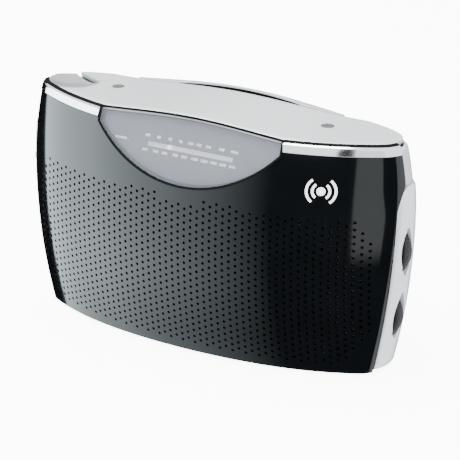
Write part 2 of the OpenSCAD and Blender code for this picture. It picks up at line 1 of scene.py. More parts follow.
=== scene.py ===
"""Looks of a bow-fronted portable radio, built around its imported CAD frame.

Lengths inside the shape functions are millimetres in the case's own frame: x to the right, z up
from the table, y to the rear from the widest line of the plan. They become metres in make_mesh.
"""
import math

import bmesh
import bpy
import numpy as np
from bpy.props import FloatProperty, FloatVectorProperty, PointerProperty
from mathutils import Matrix, Vector


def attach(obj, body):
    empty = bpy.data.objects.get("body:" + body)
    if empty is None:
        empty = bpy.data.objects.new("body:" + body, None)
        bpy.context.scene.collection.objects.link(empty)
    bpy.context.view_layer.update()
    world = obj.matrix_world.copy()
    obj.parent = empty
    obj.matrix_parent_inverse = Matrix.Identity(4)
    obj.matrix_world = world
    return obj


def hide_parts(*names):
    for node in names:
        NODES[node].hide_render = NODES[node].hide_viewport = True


bl_info = {
    "name": "Bow-fronted portable radio",
    "version": (1, 0, 0),
    "blender": (4, 5, 0),
    "location": "View3D > Sidebar > Radio",
    "description": "Builds the radio's visible pieces, finishes and studio around its CAD frame",
    "category": "Object",
}

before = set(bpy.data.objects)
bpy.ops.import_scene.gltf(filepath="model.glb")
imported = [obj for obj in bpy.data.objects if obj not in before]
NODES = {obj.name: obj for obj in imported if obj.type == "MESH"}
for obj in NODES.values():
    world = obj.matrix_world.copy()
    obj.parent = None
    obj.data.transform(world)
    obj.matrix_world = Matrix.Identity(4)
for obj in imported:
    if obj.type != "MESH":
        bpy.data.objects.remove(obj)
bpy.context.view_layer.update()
MM = 0.001

# ---- Sizes shared by several pieces, in millimetres ------------------------------------------
CASE_HALF_W = 128.0
WIDEST_Z = 100.0
LOW_TAPER, HIGH_TAPER = 12.3, 31.0
FRONT_DEPTH, REAR_DEPTH = 39.7, 39.3
BOW_2, BOW_4 = 21.9, 13.4
PILLOW, PILLOW_Z, PILLOW_H = 10.5, 66.5, 84.0
FACE_SHARE, CORNER_LEAN, CORNER_Y, CORNER_TURN = 0.93, 0.65, 8.0, 60.0
REAR_POWER = 2.3
BAND_Z, RIM_Z, CROWN = 136.2, 142.6, 3.4
WINDOW_HALF_W, WINDOW_R, WINDOW_Z, WINDOW_SLOPE = 62.0, 84.0, 106.5, 0.366
EDGE_INSET = 3.0
TRIM_TOP, TRIM_STEP = 118.0, 3.2
TRIM_START, TRIM_END = -0.6, 44.0
BAND_START, BAND_END = 0.545, 1.73
FLOOR_Z = 1.5
WALL = 2.4
CHORD_Y = 31.2
DISH = (-103.0, 10.0)
DISH_R, DISH_SPHERE = 17.0, 42.0
SLOT_START, SLOT_ACROSS = (-107.6, 20.5), (0.438, 0.899)
RECESS, RECESS_TURN = (-101.0, 34.0), -26.0
PLUG_X, PLUG_Y = 72.0, 10.3
SLIT_HALF_W, SLIT_DEPTH, GRIP_HALF_W = 42.0, 3.8, 70.7
TUNING_X, TUNING_Z = 113.5, 78.0
VOLUME_X, VOLUME_Z = 109.2, 37.0
WHEEL_R, WHEEL_T, WHEEL_MID = 17.0, 6.0, 3.5
DOOR_HALF_W, DOOR_LOW, DOOR_HIGH = 53.0, 11.0, 66.0
DOOR_PIN, RIB_HALF_W = (32.8, 9.8), 22.0
AERIAL_X, AERIAL_Y, AERIAL_Z = -98.0, 43.2, 127.0
AERIAL_END = AERIAL_X + 186.0
TUBE_R, TUBE_STEP, TUBE_WALL = 3.0, 0.45, 0.4
Y_SHIFT = -4.25
FM_Z, AM_Z = 131.0, 123.0
POWER_AT = (-46.5, 127.0)
PRINT_DEPTH, PRINT_THICKNESS = 3.38, 0.12
EMBLEM = (86.0, 116.0)
DIAL_FM = (("FM", -28.6), ("88", -21.0), ("92", -13.2), ("96", -6.0), ("100", 0.6), ("102", 6.4),
           ("104", 12.6), ("108", 21.6), ("MHz", 30.4))
DIAL_AM = (("AM", -29.2), ("540", -21.6), ("600", -15.4), ("700", -8.2), ("800", -2.0), ("1000", 5.0),
           ("1200", 11.4), ("1400", 17.6), ("1600", 23.8), ("kHz", 30.4))
KEY_POWER, FILL_POWER, CARD_GLOW, ROOM_STRENGTH = 80.0, 4.0, 6.8, 2.1
CAMERA_AIM = (-0.00456, 0.02482, 0.05541)
CAMERA_BEARING, CAMERA_RISE, CAMERA_ROLL = 30.365, 22.185, -0.095
CAMERA_DISTANCE, CAMERA_LENS = 1.35, 171.65
PLAIN_PIECES = {
    "dial_cord": ("dial_cord_thread", 0.05, "case"),
    "cord_posts": ("steel_hardware", 0.2, "case"),
    "base_plate": ("dark_moulding", 0.4, "case"),
    "tuning_shaft": ("steel_hardware", 0.3, "tuning_wheel"),
    "cord_drum": ("drum_cream", 0.15, "tuning_wheel"),
    "tuning_gang": ("control_brown", 0.5, "case"),
    "volume_control": ("switch_metal", 0.5, "case"),
    "band_switch_knob": ("wheel_black", 0.4, "band_switch_knob"),
    "band_switch_body": ("switch_metal", 0.3, "case"),
    "headphone_socket": ("socket_black", 0.3, "case"),
    "mains_inlet": ("socket_black", 0.5, "case"),
    "mains_inlet_pins": ("steel_hardware", 0.3, "case"),
    "speaker_basket": ("basket_black", 0.2, "case"),
    "speaker_cone": ("cone_paper", 0.1, "case"),
    "speaker_magnet": ("magnet_grey", 0.6, "case"),
    "circuit_board": ("board_green", 0.1, "case"),
    "board_components": ("component_black", 0.4, "case"),
    "ferrite_rod": ("ferrite_grey", 0.4, "case"),
    "ferrite_coil": ("coil_copper", 0.15, "case"),
    "mains_transformer": ("transformer_iron", 0.6, "case"),
    "battery_tray": ("dark_moulding", 0.5, "case"),
    "battery_springs": ("steel_hardware", 0.15, "case"),
    "battery_door_hinge_pin": ("steel_hardware", 0.15, "case"),
    "feet": ("foot_rubber", 0.4, "case"),
    "case_screws": ("steel_hardware", 0.12, "case"),
    "aerial_swivel": ("aerial_chrome", 0.3, "aerial_swivel"),
    "aerial_hinge_pin": ("steel_hardware", 0.15, "aerial_swivel"),
}


# ---- The case's outline ------------------------------------------------------------------------
def half_width(z):
    """Half width at height z: one parabola below the widest height and a steeper one above it."""
    taper = np.where(z < WIDEST_Z, LOW_TAPER, HIGH_TAPER)
    return CASE_HALF_W - taper * ((z - WIDEST_Z) / 100) ** 2


def back_depth(z):
    """Depth of the back at height z: a shallow parabola."""
    return REAR_DEPTH - 4 * ((z - WIDEST_Z) / 100) ** 2


def face_y(x, z):
    """Front surface: a bow of second and fourth powers of x plus a pillow over the height."""
    bow = BOW_2 * (x / 128) ** 2 + BOW_4 * (x / 128) ** 4
    return -FRONT_DEPTH + bow + PILLOW * ((z - PILLOW_Z) / PILLOW_H) ** 2


def corner_y(t, z):
    """Depth along the corner, a quadratic Bezier curve with t from the face's end to the side."""
    start = face_y(FACE_SHARE * half_width(z), z)
    middle = start + CORNER_LEAN * (1 - FACE_SHARE) * half_width(z)
    return start * (1 - t) ** 2 + 2 * t * (1 - t) * middle + CORNER_Y * t * t


def front_run(s, z):
    """Front outline: |s| up to 1 crosses the face in equal steps of x, and 1 to 2 rounds the corner."""
    w = half_width(z)
    a = FACE_SHARE * w
    t = np.clip(np.abs(s) - 1, 0, 1)
    x = np.where(np.abs(s) <= 1, s * a, np.sign(s) * (a + (w - a) * (2 * t - t * t)))
    y = np.where(np.abs(s) <= 1, face_y(s * a, z), corner_y(t, z))
    return x, y


def rear_run(a, z):
    """Rear outline: a superellipse with angle a in degrees from the right, over the back, to the left."""
    c = np.cos(np.radians(a))
    s = np.clip(np.sin(np.radians(a)), 0, 1)
    x = half_width(z) * np.sign(c) * np.abs(c) ** (2 / REAR_POWER)
    return x, CORNER_Y + (back_depth(z) - CORNER_Y) * s ** (2 / REAR_POWER)


def round_run(a, z):
    """The rear outline, run on round the front corners where a is below 0 or above 180."""
    fx, fy = front_run(np.where(a < 90, 2 + a / CORNER_TURN, -2 + (a - 180) / CORNER_TURN), z)
    rx, ry = rear_run(np.clip(a, 0, 180), z)
    outside = (a < 0) | (a > 180)
    return np.where(outside, fx, rx), np.where(outside, fy, ry)


def moved(run, u, z, out, step, low, high):
    """A run's points moved out square to its tangent, which is measured over a small step."""
    x0, y0 = run(np.clip(u - step, low, high), z)
    x1, y1 = run(np.clip(u + step, low, high), z)
    tx, ty = x1 - x0, y1 - y0
    n = np.hypot(tx, ty) + 1e-9
    x, y = run(u, z)
    return x + out * ty / n, y - out * tx / n


def front_moved(s, z, out):
    """The front outline at s, moved out by a distance square to it."""
    return moved(front_run, s, z, out, 0.02, -2, 2)


def round_moved(a, z, out):
    """The outline round the back at angle a, moved out by a distance square to it."""
    return moved(round_run, a, z, out, 0.6, -60, 240)


def front_at(x, z):
    """Front surface over x, corner included: the corner's t is found back from x."""
    w = half_width(z)
    a = FACE_SHARE * w
    share = np.clip((np.abs(x) - a) / (w - a), 0, 1)
    return np.where(np.abs(x) <= a, face_y(x, z), corner_y(1 - np.sqrt(1 - share), z))


def crown_z(x):
    """Height of the top: the rim's height plus a squared-cosine rise in the middle."""
    return RIM_Z + CROWN * np.cos(np.radians(90 * np.clip(np.abs(x) / 84, 0, 1))) ** 2


def window_y(z):
    """Depth of the window's sloping plane at height z: a straight line."""
    return -FRONT_DEPTH + 2.4 + WINDOW_SLOPE * (z - WINDOW_Z)


def arc_z(x):
    """Lower edge of the window: a circular arc."""
    return WINDOW_Z + WINDOW_R - np.sqrt(WINDOW_R ** 2 - np.clip(np.abs(x), 0, WINDOW_HALF_W) ** 2)


def back_curve_y(x):
    """Rear edge of the top, as the superellipse solved for y."""
    share = np.clip(np.abs(x) / (half_width(RIM_Z) - EDGE_INSET + 0.6), 0, 1)
    return CORNER_Y + (back_depth(RIM_Z) - CORNER_Y) * (1 - share ** REAR_POWER) ** (1 / REAR_POWER)


def window_point(x, z, depth):
    """A point on the window's plane, moved back along the plane's normal."""
    n = math.hypot(1, WINDOW_SLOPE)
    x, z = np.broadcast_arrays(np.asarray(x, float), np.asarray(z, float))
    return np.stack([x, window_y(z) + depth / n, z - depth * WINDOW_SLOPE / n], axis=-1)


# ---- Meshes -------------------------------------------------------------------------------------
def make_mesh(name, points, faces):
    """A mesh object from millimetre points in the case's frame and its faces."""
    mesh = bpy.data.meshes.new(name)
    moved_points = (np.asarray(points, float).reshape(-1, 3) + [0, Y_SHIFT, 0]) * MM
    mesh.from_pydata(moved_points.tolist(), [], faces.tolist() if isinstance(faces, np.ndarray) else faces)
    mesh.update()
    piece = bpy.data.objects.new(name, mesh)
    bpy.context.scene.collection.objects.link(piece)
    return piece


def grid_faces(rows, cols, wrap=False):
    """Quads of a grid with rows going up and columns going right as seen from outside."""
    r, c = np.meshgrid(np.arange(rows - 1), np.arange(cols if wrap else cols - 1), indexing="ij")
    right = (c + 1) % cols
    quads = [r * cols + c, r * cols + right, (r + 1) * cols + right, (r + 1) * cols + c]
    return np.stack(quads, axis=-1).reshape(-1, 4)


def open_edges(faces):
    """Directed edges that only one face uses."""
    starts = faces.reshape(-1)
    ends = np.roll(faces, -1, axis=1).reshape(-1)
    size = int(faces.max()) + 1
    key, back = starts * size + ends, ends * size + starts
    alone = ~np.isin(key, back)
    return np.stack([starts[alone], ends[alone]], axis=1)


def solid_sheet(name, outer, inner, faces):
    """Closed solid from two skins with the same faces, joined along every open edge."""
    outer, inner = outer.reshape(-1, 3), inner.reshape(-1, 3)
    count = len(outer)
    edges = open_edges(faces)
    walls = np.stack([edges[:, 1], edges[:, 0], edges[:, 0] + count, edges[:, 1] + count], axis=1)
    if faces.shape[1] == 3:
        walls = np.concatenate([walls[:, [0, 1, 2]], walls[:, [0, 2, 3]]])
    return make_mesh(name, np.concatenate([outer, inner]),
                     np.concatenate([faces, faces[:, ::-1] + count, walls]))


def solid_grid(name, outer, inner):
    """Closed solid from two skins that are grids of points."""
    return solid_sheet(name, outer, inner, grid_faces(*outer.shape[:2]))


def capped_tube(name, rings):
    """Closed solid from rings of points: quads round it and a fan of triangles on each end."""
    rows, cols = rings.shape[:2]
    quads = grid_faces(rows, cols, wrap=True)
    side = np.concatenate([quads[:, [0, 1, 2]], quads[:, [0, 2, 3]]])
    k = np.arange(cols)
    first = np.stack([np.full(cols, rows * cols), (k + 1) % cols, k], axis=1)
    last = np.stack([np.full(cols, rows * cols + 1), k, (k + 1) % cols], axis=1) + \
        np.array([0, (rows - 1) * cols, (rows - 1) * cols])
    centres = np.stack([rings[0].mean(0), rings[-1].mean(0)])
    return make_mesh(name, np.concatenate([rings.reshape(-1, 3), centres]),
                     np.concatenate([side, first, last]))


def turned(name, profile, centre, axis, segments=96, teeth=0, tooth_depth=0.0, tooth_from=0.0):
    """Solid of revolution: a closed profile of (radius, along) pairs carried round an axis.

    Points further out than tooth_from are drawn in by a cosine of the angle, which makes knurls.
    """
    profile = np.array(profile, float)
    angle = np.linspace(0, 2 * np.pi, segments, endpoint=False)
    radius, turn = np.meshgrid(profile[:, 0], angle, indexing="ij")
    along = np.repeat(profile[:, 1][:, None], segments, axis=1)
    if teeth:
        knurl = tooth_depth * (0.5 - 0.5 * np.cos(teeth * turn)) ** 2
        radius = radius - np.where(radius > tooth_from, knurl, 0)
    across, up = radius * np.cos(turn), radius * np.sin(turn)
    order = {"X": (along, across, up), "Y": (up, along, across), "Z": (across, up, along)}[axis]
    points = np.stack(order, axis=-1) + np.array(centre, float)
    ring = np.concatenate([points, points[:1]])[:, ::-1]
    return tidy(make_mesh(name, ring, grid_faces(*ring.shape[:2], wrap=True)))


def tidy(piece):
    """Merges doubles, removes specks and turns every face outwards."""
    mesh = bmesh.new()
    mesh.from_mesh(piece.data)
    bmesh.ops.remove_doubles(mesh, verts=mesh.verts, dist=1e-6)
    bmesh.ops.dissolve_degenerate(mesh, edges=mesh.edges, dist=1e-7)
    bmesh.ops.recalc_face_normals(mesh, faces=mesh.faces)
    mesh.to_mesh(piece.data)
    mesh.free()
    return piece


def joined(name, pieces):
    """One object from several, with their meshes put together."""
    points, faces, start = [], [], 0
    for piece in pieces:
        flat = np.zeros(len(piece.data.vertices) * 3)
        piece.data.vertices.foreach_get("co", flat)
        points.append(flat.reshape(-1, 3) / MM - [0, Y_SHIFT, 0])
        faces += [tuple(v + start for v in p.vertices) for p in piece.data.polygons]
        start += len(piece.data.vertices)
        bpy.data.objects.remove(piece)
    return make_mesh(name, np.concatenate(points), faces)


def applied(piece):
    """Applies a piece's modifiers to its mesh."""
    bpy.context.view_layer.update()
    graph = bpy.context.evaluated_depsgraph_get()
    mesh = bpy.data.meshes.new_from_object(piece.evaluated_get(graph))
    piece.modifiers.clear()
    piece.data = mesh
    return piece


def carved(piece, cutters):
    """Takes the cutters away from a piece."""
    for cutter in cutters:
        cut = piece.modifiers.new("cut", "BOOLEAN")
        cut.operation = "DIFFERENCE"
        cut.solver = "EXACT"
        cut.object = cutter
    applied(piece)
    for cutter in cutters:
        bpy.data.objects.remove(cutter)
    return piece


def kept(piece, holder):
    """Keeps only what lies inside the holder."""
    hold = piece.modifiers.new("hold", "BOOLEAN")
    hold.operation = "INTERSECT"
    hold.solver = "EXACT"
    hold.object = holder
    applied(piece)
    bpy.data.objects.remove(holder)
    return piece


def bevelled(piece, width, segments=2, angle=35):
    """Rounds the sharp edges of a piece."""
    bevel = piece.modifiers.new("bevel", "BEVEL")
    bevel.width = width * MM
    bevel.segments = segments
    bevel.limit_method = "ANGLE"
    bevel.angle_limit = math.radians(angle)
    bevel.use_clamp_overlap = True
    return applied(piece)


def prism(name, outline, low, high, axis):
    """Closed solid: a flat outline carried from low to high along an axis."""
    outline = np.array(outline, float)
    flat = {"X": (1, 2), "Y": (0, 2), "Z": (0, 1)}[axis]
    lift = "XYZ".index(axis)
    rings = np.zeros((2, len(outline), 3))
    rings[:, :, flat[0]] = outline[:, 0]
    rings[:, :, flat[1]] = outline[:, 1]
    rings[0, :, lift] = low
    rings[1, :, lift] = high
    return tidy(capped_tube(name, rings))


def slab(low, high):
    """A plain box, used only as a cutter."""
    outline = [(low[0], low[1]), (high[0], low[1]), (high[0], high[1]), (low[0], high[1])]
    return prism("cutter", outline, low[2], high[2], "Z")


def disc_outline(x, y, r, count=64):
    """Points round a circle."""
    angle = np.linspace(0, 2 * np.pi, count, endpoint=False)
    return np.stack([x + r * np.cos(angle), y + r * np.sin(angle)], axis=1)


def shown(piece, finish, body="case", replaces=(), smooth=35):
    """Smooths a piece up to an angle, gives it its finish and hangs it on its CAD body."""
    piece.data.polygons.foreach_set("use_smooth", np.ones(len(piece.data.polygons), bool))
    piece.data.set_sharp_from_angle(angle=math.radians(smooth))
    piece.data.materials.clear()
    piece.data.materials.append(finish_of(finish))
    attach(piece, body)
    if replaces:
        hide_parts(*replaces)
    return piece


# ---- Finishes ------------------------------------------------------------------------------------
class Value:
    """A shader socket that takes part in Python arithmetic; each sum becomes a math node."""

    def __init__(self, finish, socket):
        self.finish = finish
        self.socket = socket

    def math(self, operation, *others):
        return self.finish.node("ShaderNodeMath", {"operation": operation}, [self, *others])

    def __add__(self, other):
        return self.math("ADD", other)

    def __radd__(self, other):
        return self.math("ADD", other)

    def __sub__(self, other):
        return self.math("SUBTRACT", other)

    def __rsub__(self, other):
        return (self * -1) + other

    def __mul__(self, other):
        return self.math("MULTIPLY", other)

    def __rmul__(self, other):
        return self.math("MULTIPLY", other)

    def __truediv__(self, other):
        return self.math("DIVIDE", other)

    def __pow__(self, other):
        return self.math("POWER", other)

    def wave(self):
        """Half a sine wave's height above zero, from 0 to 1."""
        return self.math("SINE") * 0.5 + 0.5

    def between(self, low, high):
        """0 below low, 1 above high and a smooth step between the two."""
        return self.finish.node("ShaderNodeMapRange", {"interpolation_type": "SMOOTHSTEP"},
                                {0: self, 1: low, 2: high, 3: 0.0, 4: 1.0})


class Finish:
    """One procedural material, built from nodes on object coordinates in metres."""

    def __init__(self, name):
        self.material = bpy.data.materials.new(name)
        self.material.use_nodes = True
        self.tree = self.material.node_tree
        self.tree.nodes.clear()
        self.output = self.tree.nodes.new("ShaderNodeOutputMaterial")

    def node(self, kind, settings=None, values=None, outlet=0):
        """A node of any kind with its settings and input values, as the value of one outlet."""
        node = self.tree.nodes.new(kind)
        for key, setting in (settings or {}).items():
            setattr(node, key, setting)
        pairs = enumerate(values) if isinstance(values, (list, tuple)) else (values or {}).items()
        for key, value in pairs:
            if isinstance(value, Value):
                self.tree.links.new(value.socket, node.inputs[key])
            else:
                node.inputs[key].default_value = value
        return Value(self, node.outputs[outlet])

    def place(self, stretch=(1, 1, 1)):
        """Object coordinates, stretched along each axis."""
        where = self.node("ShaderNodeTexCoord", outlet="Object")
        return self.node("ShaderNodeVectorMath", {"operation": "MULTIPLY"}, [where, stretch])

    def axes(self, where):
        parts = self.node("ShaderNodeSeparateXYZ", None, [where])
        outlets = parts.socket.node.outputs
        return [Value(self, outlets[i]) for i in range(3)]

    def noise(self, where, scale, detail=4.0, roughness=0.55):
        return self.node("ShaderNodeTexNoise", {"noise_dimensions": "3D"},
                         {"Vector": where, "Scale": scale, "Detail": detail, "Roughness": roughness})

    def cells(self, where, scale):
        return self.node("ShaderNodeTexVoronoi", {"feature": "F1"}, {"Vector": where, "Scale": scale})

    def mix(self, share, first, second):
        """Two colours mixed by a share."""
        return self.node("ShaderNodeMix", {"data_type": "RGBA"}, {0: share, 6: first, 7: second}, outlet=2)

    def bump(self, height, distance, strength=1.0):
        return self.node("ShaderNodeBump", None,
                         {"Height": height, "Distance": distance, "Strength": strength})

    def surface(self, **inputs):
        """The principled surface; a name's underscores stand for the spaces of its socket."""
        shader = self.node("ShaderNodeBsdfPrincipled", None,
                           {key.replace("_", " "): value for key, value in inputs.items()})
        self.tree.links.new(shader.socket, self.output.inputs["Surface"])
        return self.material


def rgb(red, green, blue):
    """An opaque colour."""
    return (red, green, blue, 1.0)


def grey(level):
    """An opaque grey."""
    return rgb(level, level, level)


def gloss_black(name):
    """Piano black moulding under a clear gloss, with faint dust and moulding waviness."""
    f = Finish(name)
    where = f.place()
    haze = f.noise(where, 38, 3)
    dust = f.noise(where, 2600, 2)
    colour = f.mix(haze, rgb(0.0022, 0.0026, 0.003), rgb(0.0045, 0.0052, 0.006))
    rough = 0.055 + haze * 0.03 + dust.between(0.68, 0.8) * 0.05
    return f.surface(Base_Color=colour, Roughness=rough, Specular_IOR_Level=0.5,
                     Normal=f.bump(f.noise(where, 22, 1), 0.00012, 0.35))


def chrome(name, tint=0.9, rough=0.05):
    """Bright plating: rubbed lines along it and soft cloudy patches in its sheen."""
    f = Finish(name)
    where = f.place()
    cloud = f.noise(where, 60, 3)
    rub = f.noise(f.place((1, 14, 14)), 160, 3)
    colour = f.mix(cloud, grey(tint * 0.93), rgb(tint, tint, tint * 1.01))
    return f.surface(Base_Color=colour, Metallic=1.0, Roughness=rough + rub * 0.06 + cloud * 0.03,
                     Normal=f.bump(rub, 0.00001, 0.3))


def lacquer(name, low, high, rough=0.34, metallic=0.35, flake=0.12, coat=0.0, grain=(1, 1, 1)):
    """Silver lacquer: fine metallic flake under a satin film, with slow drifts of tone."""
    f = Finish(name)
    where = f.place(grain)
    drift = f.noise(where, 24, 3)
    sparkle = f.cells(f.place(), 5200)
    orange = f.noise(f.place(), 1500, 3)
    share = drift * (1 - flake) + sparkle * flake
    colour = f.mix(share, low, high)
    return f.surface(Base_Color=colour, Metallic=metallic, Roughness=rough + orange * 0.08,
                     Coat_Weight=coat, Coat_Roughness=0.12, Normal=f.bump(orange, 0.00001, 0.5))


def top_lacquer_dish_shaded(name):
    """Satin silver lacquer, with painted shade inside the round scoop at the plate's left end: the scoop's
    colour is darkened to a dark grey.
    """
    f = Finish(name)
    where = f.place()
    x, y = f.axes(where)[:2]
    reach = ((x - DISH[0] * MM) ** 2 + (y - (DISH[1] + Y_SHIFT) * MM) ** 2) ** 0.5
    past_slot = (x - SLOT_START[0] * MM) * SLOT_ACROSS[0] + \
        (y - (SLOT_START[1] + Y_SHIFT) * MM) * SLOT_ACROSS[1]
    # Mask of the scoop up to the slot, where the shade is painted.
    inside = (1 - reach.between((DISH_R - 1.2) * MM, (DISH_R + 0.2) * MM)) * \
        (1 - past_slot.between(0.8 * MM, 1.6 * MM))
    drift = f.noise(where, 24, 3)
    sparkle = f.cells(where, 5200)
    orange = f.noise(where, 1500, 3)
    plain = f.mix(drift * 0.8 + sparkle * 0.2, rgb(0.56, 0.58, 0.575), rgb(0.66, 0.68, 0.675))
    # Painted shade: inside the scoop the colour is mixed towards dark grey.
    colour = f.mix(inside * 0.85, plain, rgb(0.2, 0.212, 0.212))
    return f.surface(Base_Color=colour, Metallic=0.25, Roughness=0.3 + orange * 0.08, Coat_Weight=0.3,
                     Coat_Roughness=0.1, Normal=f.bump(orange, 0.00001, 0.5))


def moulding(name, low, high, rough=0.5, scale=2400, depth=0.00002):
    """Spark-textured moulded plastic with slightly worn, smoother patches."""
    f = Finish(name)
    where = f.place()
    texture = f.noise(where, scale, 4)
    wear = f.noise(where, 70, 3)
    colour = f.mix(texture * 0.6 + wear * 0.4, low, high)
    return f.surface(Base_Color=colour, Roughness=rough + texture * 0.18 - wear.between(0.55, 0.75) * 0.12,
                     Normal=f.bump(texture, depth, 0.6))


def brushed(name, low, high, stretch=(1, 30, 30), rough=0.3):
    """Drawn or ground steel: long scratches one way and dull spots."""
    f = Finish(name)
    lines = f.noise(f.place(stretch), 120, 5)
    spots = f.noise(f.place(), 300, 3)
    colour = f.mix(lines * 0.7 + spots * 0.3, low, high)
    return f.surface(Base_Color=colour, Metallic=1.0, Roughness=rough + lines * 0.16,
                     Normal=f.bump(lines, 0.00001, 0.5))


def lens_tint(name):
    """Smoked clear window: thin grey tint, sharp gloss and hairline scratches."""
    f = Finish(name)
    where = f.place()
    drift = f.noise(where, 18, 2)
    hair = f.noise(f.place((3, 60, 8)), 90, 4)
    colour = f.mix(drift, rgb(0.30, 0.31, 0.35), rgb(0.36, 0.37, 0.42))
    return f.surface(Base_Color=colour, Roughness=0.07 + hair.between(0.6, 0.8) * 0.06,
                     Alpha=0.16 + drift * 0.04, Normal=f.bump(f.noise(where, 25, 1), 0.0001, 0.3))


def scale_print(name):
    """Scale plate: grey sprayed plate with a fine grain and a soft fall in tone across it."""
    f = Finish(name)
    where = f.place()
    grain = f.noise(where, 3200, 3)
    drift = f.noise(where, 14, 2)
    colour = f.mix(grain * 0.25 + drift * 0.75, rgb(0.125, 0.128, 0.143), rgb(0.165, 0.17, 0.187))
    return f.surface(Base_Color=colour, Roughness=0.42 + grain * 0.1, Normal=f.bump(grain, 0.00001, 0.4))


def ink(name, colour=(0.86, 0.87, 0.88), glow=0.0):
    """Screen-printed ink: a little uneven in cover, with a dry matt skin. A glow above zero is painted light:
    the ink emits its own colour, though it is no lamp.
    """
    f = Finish(name)
    cover = f.noise(f.place(), 2600, 3)
    low = rgb(*(0.82 * part for part in colour))
    shade = f.mix(cover, low, rgb(*colour))
    # The emission strength glow is painted light that brightens the print.
    return f.surface(Base_Color=shade, Roughness=0.55 + cover * 0.15, Emission_Color=shade,
                     Emission_Strength=glow, Normal=f.bump(cover, 0.000005, 0.5))


def banded(name, low, high, axis=0, pitch=0.0006, rough=0.45, metallic=0.0, depth=0.0001):
    """Fine bands across one axis: wound wire, laminations or twisted thread."""
    f = Finish(name)
    where = f.place()
    along = f.axes(where)[axis]
    bands = (along * (2 * math.pi / pitch) + f.noise(where, 300, 2) * 1.2).wave()
    tone = f.noise(where, 500, 3)
    colour = f.mix(bands * 0.6 + tone * 0.4, low, high)
    return f.surface(Base_Color=colour, Metallic=metallic, Roughness=rough + tone * 0.12,
                     Normal=f.bump(bands, depth, 0.6))


def solder_mask(name):
    """Circuit board: green mask over a maze of copper tracks and the weave of the glass beneath."""
    f = Finish(name)
    where = f.place()
    x, _, z = f.axes(where)
    tracks = f.cells(where, 260).between(0.25, 0.3)
    weave = (x * 9000).wave() * (z * 9000).wave()
    colour = f.mix(tracks, rgb(0.05, 0.19, 0.07), rgb(0.02, 0.1, 0.04))
    return f.surface(Base_Color=colour, Roughness=0.3 + weave * 0.15, Normal=f.bump(tracks, 0.00004, 0.6))


def pressed_paper(name):
    """Speaker cone: felted fibres in dark paper."""
    f = Finish(name)
    where = f.place()
    fibre = f.noise(f.place((1, 1, 5)), 900, 6)
    felt = f.noise(where, 260, 4)
    colour = f.mix(fibre * 0.5 + felt * 0.5, rgb(0.03, 0.028, 0.025), rgb(0.1, 0.093, 0.083))
    return f.surface(Base_Color=colour, Roughness=0.85 + fibre * 0.1, Normal=f.bump(fibre, 0.00012, 0.8))


def lamp(name):
    """Tinted lamp: unlit red resin, darker in its core."""
    f = Finish(name)
    where = f.place()
    core = f.noise(where, 900, 3)
    colour = f.mix(core, rgb(0.14, 0.06, 0.06), rgb(0.36, 0.22, 0.22))
    return f.surface(Base_Color=colour, Roughness=0.15 + core * 0.1, Coat_Weight=0.4,
                     Normal=f.bump(core, 0.00003, 0.3))


def dull_black(name):
    """Black cord and seams: dusty rubber that hardly reflects. It also serves as painted shade on the skin in
    the grip's slit.
    """
    f = Finish(name)
    dust = f.noise(f.place(), 1800, 3)
    return f.surface(Base_Color=f.mix(dust, grey(0.002), grey(0.008)), Roughness=0.7 + dust * 0.2,
                     Specular_IOR_Level=0.04, Normal=f.bump(dust, 0.00001, 0.5))


def pale_floor(name):
    """Seamless white paper: near-white, dull, with a barely uneven surface."""
    f = Finish(name)
    mottle = f.noise(f.place(), 3, 2)
    colour = f.mix(mottle, grey(0.93), grey(0.95))
    return f.surface(Base_Color=colour, Roughness=0.85 + mottle * 0.1, Emission_Color=colour,
                     Emission_Strength=9.0)


